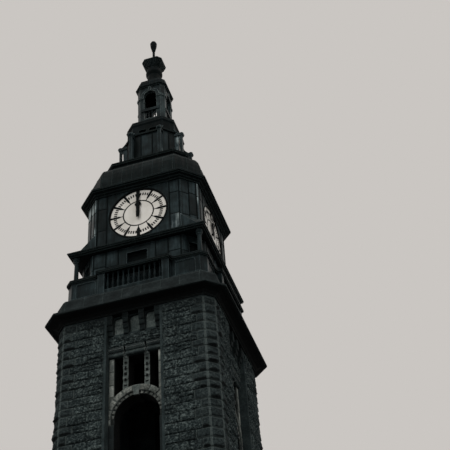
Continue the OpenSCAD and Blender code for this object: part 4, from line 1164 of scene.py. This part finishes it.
class TOWER_OT_cladding(bpy.types.Operator):
    """Lays the sheets and standing seams on the gallery, the clock stage and the drum"""
    bl_idname = "tower.cladding"
    bl_label = "Sheet cladding"

    def execute(self, context):
        sheet = context.scene.tower_sheet
        block = unit_sheet("sheet_block", 8, 9, 0.03)
        for k, (label, stage) in enumerate(STAGES.items()):
            sheets, paler_sheets, bars = clad_faces(sheet.seam, sheet.seed + k, **stage)
            piles = (("_sheets", sheets, 1, "sheet"), ("_relaid", paler_sheets, 2, "sheet_new_and_sheen"))
            for ending, pile, dent, finish in piles:
                if pile:
                    grown(label + ending, points_mesh(label, pile), blocks_on_points(), "sheet_metal",
                          Block=block, Relief=sheet.dent * dent, Even=0.1, Rough=1.2, Grain=0.45 / dent,
                          Border=0.02, Seed=float(40 + k), Material=FINISH[finish])
            grown(label + "_seams", points_mesh(label + "_ribs", bars), bars_on_points(), "sheet_metal",
                  Material=FINISH["seam"])
        return {"FINISHED"}


def bracket_ribs(name, columns, thick, finish):
    """A rib on every scroll bracket, from columns of (distance from the axis, low end, high end)."""
    verts, faces = [], []
    last = 4 * (len(columns) - 1)
    for side in SIDES:
        for u in (-BRACKET_U, BRACKET_U):
            start = len(verts)
            for out, z0, z1 in columns:
                ring = ((-thick / 2, z0), (-thick / 2, z1), (thick / 2, z1), (thick / 2, z0))
                verts += [turned(side, u + across, -out, z) for across, z in ring]
            for a in range(start, start + last, 4):
                faces += [(a + j, a + 4 + j, a + 4 + (j + 1) % 4, a + (j + 1) % 4) for j in range(4)]
            faces.append(tuple(range(start, start + 4)))
            faces.append(tuple(range(start + last + 3, start + last - 1, -1)))
    hand_over(new_object(name, new_mesh(name, verts, faces, FINISH[finish])))


class TOWER_OT_brackets(bpy.types.Operator):
    """Closes each scroll bracket with a sheet under a curved band"""
    bl_idname = "tower.brackets"
    bl_label = "Bracket sheets"

    def execute(self, context):
        sheet = context.scene.tower_sheet
        scroll_z = high("scroll_brackets")[2] - SCROLL_R
        inner = DRUM - 0.02
        post = high("scroll_brackets")[0] - SCROLL_R - POST_BACK
        sheets, bands = [], []
        for i in range(BRACKET_STEPS + 1):
            share = i / BRACKET_STEPS
            out = inner + (post - inner) * share
            foot = scroll_z - SLIT_DROP if post - out < sheet.slit else DRUM_FOOT
            top = scroll_z + BAND_LIFT + sheet.rise * (1 - share) ** BAND_CURVE
            sheets.append((out, foot, top))
            bands.append((out, top, top + sheet.band))
        bracket_ribs("bracket_sheets", sheets, sheet.web, "sheet_new_and_sheen")
        bracket_ribs("bracket_bands", bands, BRACKET_THICK, "sheet")
        return {"FINISHED"}


class TOWER_OT_roof_seams(bpy.types.Operator):
    """Runs the rolls of the roofs and the lapped joints of the cornices over their mouldings"""
    bl_idname = "tower.roof_seams"
    bl_label = "Roof rolls and cornice joints"

    def execute(self, context):
        # Half the width that has rolls, their spacing and radius, the step along the form, and their finish
        work = {
            "skirt_roof": (1.45, 0.40, 0.012, 0.03, "sheet_roof"),
            "attic": (1.3, 0.62, 0.007, 0.02, "sheet_dark"),
            "main_cornice": (2.35, 0.67, 0.011, 0.02, "joint"),
            "gallery_cornice": (2.2, 0.9, 0.006, 0.01, "sheet_dark"),
            "clock_cornice": (1.55, 0.85, 0.006, 0.01, "sheet_dark"),
            "lantern_roof": (0.3, 0.3, 0.008, 0.02, "sheet_dark"),
        }
        for node, (half, spacing, radius, step, finish) in work.items():
            top = high(node)[2]
            foot = top - WEATHERING if node == "main_cornice" else low(node)[2]
            count = int(half * 2 / spacing)
            paths = []
            for side in SIDES:
                lines = [(side * QUARTER, (i - count / 2) * spacing) for i in range(count + 1)]
                if node in ("skirt_roof", "lantern_roof"):
                    lines.append((side * QUARTER + QUARTER / 2, 0))
                paths += [trace(node, turn, u, foot + 0.004, top - 0.004, step) for turn, u in lines]
            paths = [path for path in paths if len(path) > 1]
            slot_name = "dark_stone" if node == "main_cornice" else "sheet_metal"
            grown(node + "_rolls", paths_mesh(node, paths), seams_on_paths(), slot_name, Radius=radius,
                  Material=FINISH[finish])
        return {"FINISHED"}


# Dials


class TOWER_OT_dials(bpy.types.Operator):
    """Sets the minute bars on the four dials"""
    bl_idname = "tower.dials"
    bl_label = "Minute bars"

    def execute(self, context):
        dial = context.scene.tower_dial
        rows = []
        middle = (dial.inner + dial.outer) / 2
        for side in SIDES:
            for minute in range(60):
                if minute % 5 == 0:
                    continue
                angle = math.radians(6 * minute)
                place = turned(side, middle * math.sin(angle), -face_of("dials") - dial.thick / 2,
                               DIAL_Z + middle * math.cos(angle))
                turn = Matrix.Rotation(side * QUARTER, 3, "Z") @ Matrix.Rotation(angle, 3, "Y")
                size = (dial.width, dial.thick, dial.outer - dial.inner)
                rows.append((place, size, tuple(turn.to_euler()), 0.0))
        grown("minute_bars", points_mesh("minutes", rows), bars_on_points(), "dial_black",
              Material=FINISH["iron"])
        return {"FINISHED"}


# Stage


def camera_matrix(place, azimuth, elevation, roll):
    """Where the camera stands and how it is turned: level and looking along +Y at zero angles."""
    back = Vector((math.sin(azimuth) * math.cos(elevation), -math.cos(azimuth) * math.cos(elevation),
                   math.sin(elevation)))
    right = Vector((0, 0, 1)).cross(back).normalized()
    up = back.cross(right)
    across = right * math.cos(roll) + up * math.sin(roll)
    upward = up * math.cos(roll) - right * math.sin(roll)
    return Matrix.Translation(place) @ Matrix((across, upward, back)).transposed().to_4x4()


class TOWER_OT_stage(bpy.types.Operator):
    """Lays the floor and sets the background, the lamps and the camera"""
    bl_idname = "tower.stage"
    bl_label = "Stage"

    def execute(self, context):
        stage = context.scene.tower_stage
        scene = context.scene
        # A matt pale floor, which lights the tower from below no more than dark ground does
        material, tree = bare_tree("Pale studio floor")
        seen = put(tree, "ShaderNodeLightPath").outputs["Is Camera Ray"]
        shade = put(tree, "ShaderNodeMix", {0: seen, 6: stage.earth, 7: stage.ground}, data_type="RGBA")
        shaded(tree, {"Base Color": shade, "Roughness": 0.9})
        r = stage.floor
        corners = [(-r, -r, -0.002), (r, -r, -0.002), (r, r, -0.002), (-r, r, -0.002)]
        floor = new_object("studio_floor", new_mesh("studio_floor", corners, [(0, 1, 2, 3)], material))

        world = bpy.data.worlds.new("Studio")
        world.use_nodes = True
        tree = world.node_tree
        tree.nodes.clear()
        path = put(tree, "ShaderNodeLightPath").outputs
        seen = path["Is Camera Ray"]
        for ray in ("Is Glossy Ray", "Is Transmission Ray"):
            seen = put(tree, "ShaderNodeMath", {0: seen, 1: path[ray]}, operation="MAXIMUM")
        light = put(tree, "ShaderNodeBackground", {"Color": "#f4f6f8", "Strength": stage.light})
        plain = put(tree, "ShaderNodeBackground", {"Color": stage.sky, "Strength": 1.0})
        both = put(tree, "ShaderNodeMixShader", {0: seen, 1: light, 2: plain})
        put(tree, "ShaderNodeOutputWorld", {"Surface": both})
        scene.world = world

        # A broad key lamp from the front's left, and a weaker and broader fill lamp from the right
        for name, share, turn, spread in (("key", 1.0, (40, 0, -24), 30), ("fill", 0.45, (48, 0, 66), 50)):
            lamp = bpy.data.lights.new(name, "SUN")
            lamp.energy = stage.sun * share
            lamp.angle = math.radians(spread)
            obj = new_object(name, lamp)
            obj.rotation_euler = [math.radians(angle) for angle in turn]
            obj.visible_glossy = False

        data = bpy.data.cameras.new("camera")
        data.sensor_width = 36.0
        data.lens = stage.focal
        data.clip_end = 500.0
        scene.camera = new_object("camera", data)
        scene.camera.matrix_world = camera_matrix(stage.place, *stage.aim)
        scene.view_settings.view_transform = "Standard"
        return {"FINISHED"}


class TOWER_PT_panel(bpy.types.Panel):
    """Lists the tower's sizes, colours and pieces in the sidebar"""
    bl_idname = "TOWER_PT_panel"
    bl_label = "Clock tower"
    bl_space_type = "VIEW_3D"
    bl_region_type = "UI"
    bl_category = "Tower"

    def draw(self, context):
        for name, group in GROUPS.items():
            box = self.layout.box()
            for label in group.__annotations__:
                box.prop(getattr(context.scene, name), label)
        for operator in OPERATORS:
            self.layout.operator(operator.bl_idname)


GROUPS = {"tower_stone": TowerStone, "tower_sheet": TowerSheet, "tower_dial": TowerDial,
          "tower_colours": TowerColours, "tower_stage": TowerStage}
OPERATORS = (TOWER_OT_finishes, TOWER_OT_stage, TOWER_OT_wall_stones, TOWER_OT_quoins, TOWER_OT_trim_stones,
             TOWER_OT_door, TOWER_OT_cladding, TOWER_OT_brackets, TOWER_OT_roof_seams, TOWER_OT_dials)
CLASSES = (*GROUPS.values(), *OPERATORS, TOWER_PT_panel)


def register():
    """Registers the classes, and gives the scene its sizes and colours."""
    for item in CLASSES:
        bpy.utils.register_class(item)
    for name, group in GROUPS.items():
        setattr(bpy.types.Scene, name, PointerProperty(type=group))


def unregister():
    """Takes back what register has done."""
    for name in GROUPS:
        delattr(bpy.types.Scene, name)
    for item in reversed(CLASSES):
        bpy.utils.unregister_class(item)


def main():
    """Dresses the tower."""
    register()
    for operator in OPERATORS:
        getattr(bpy.ops.tower, operator.bl_idname.partition(".")[2])()


if __name__ == "__main__":
    main()
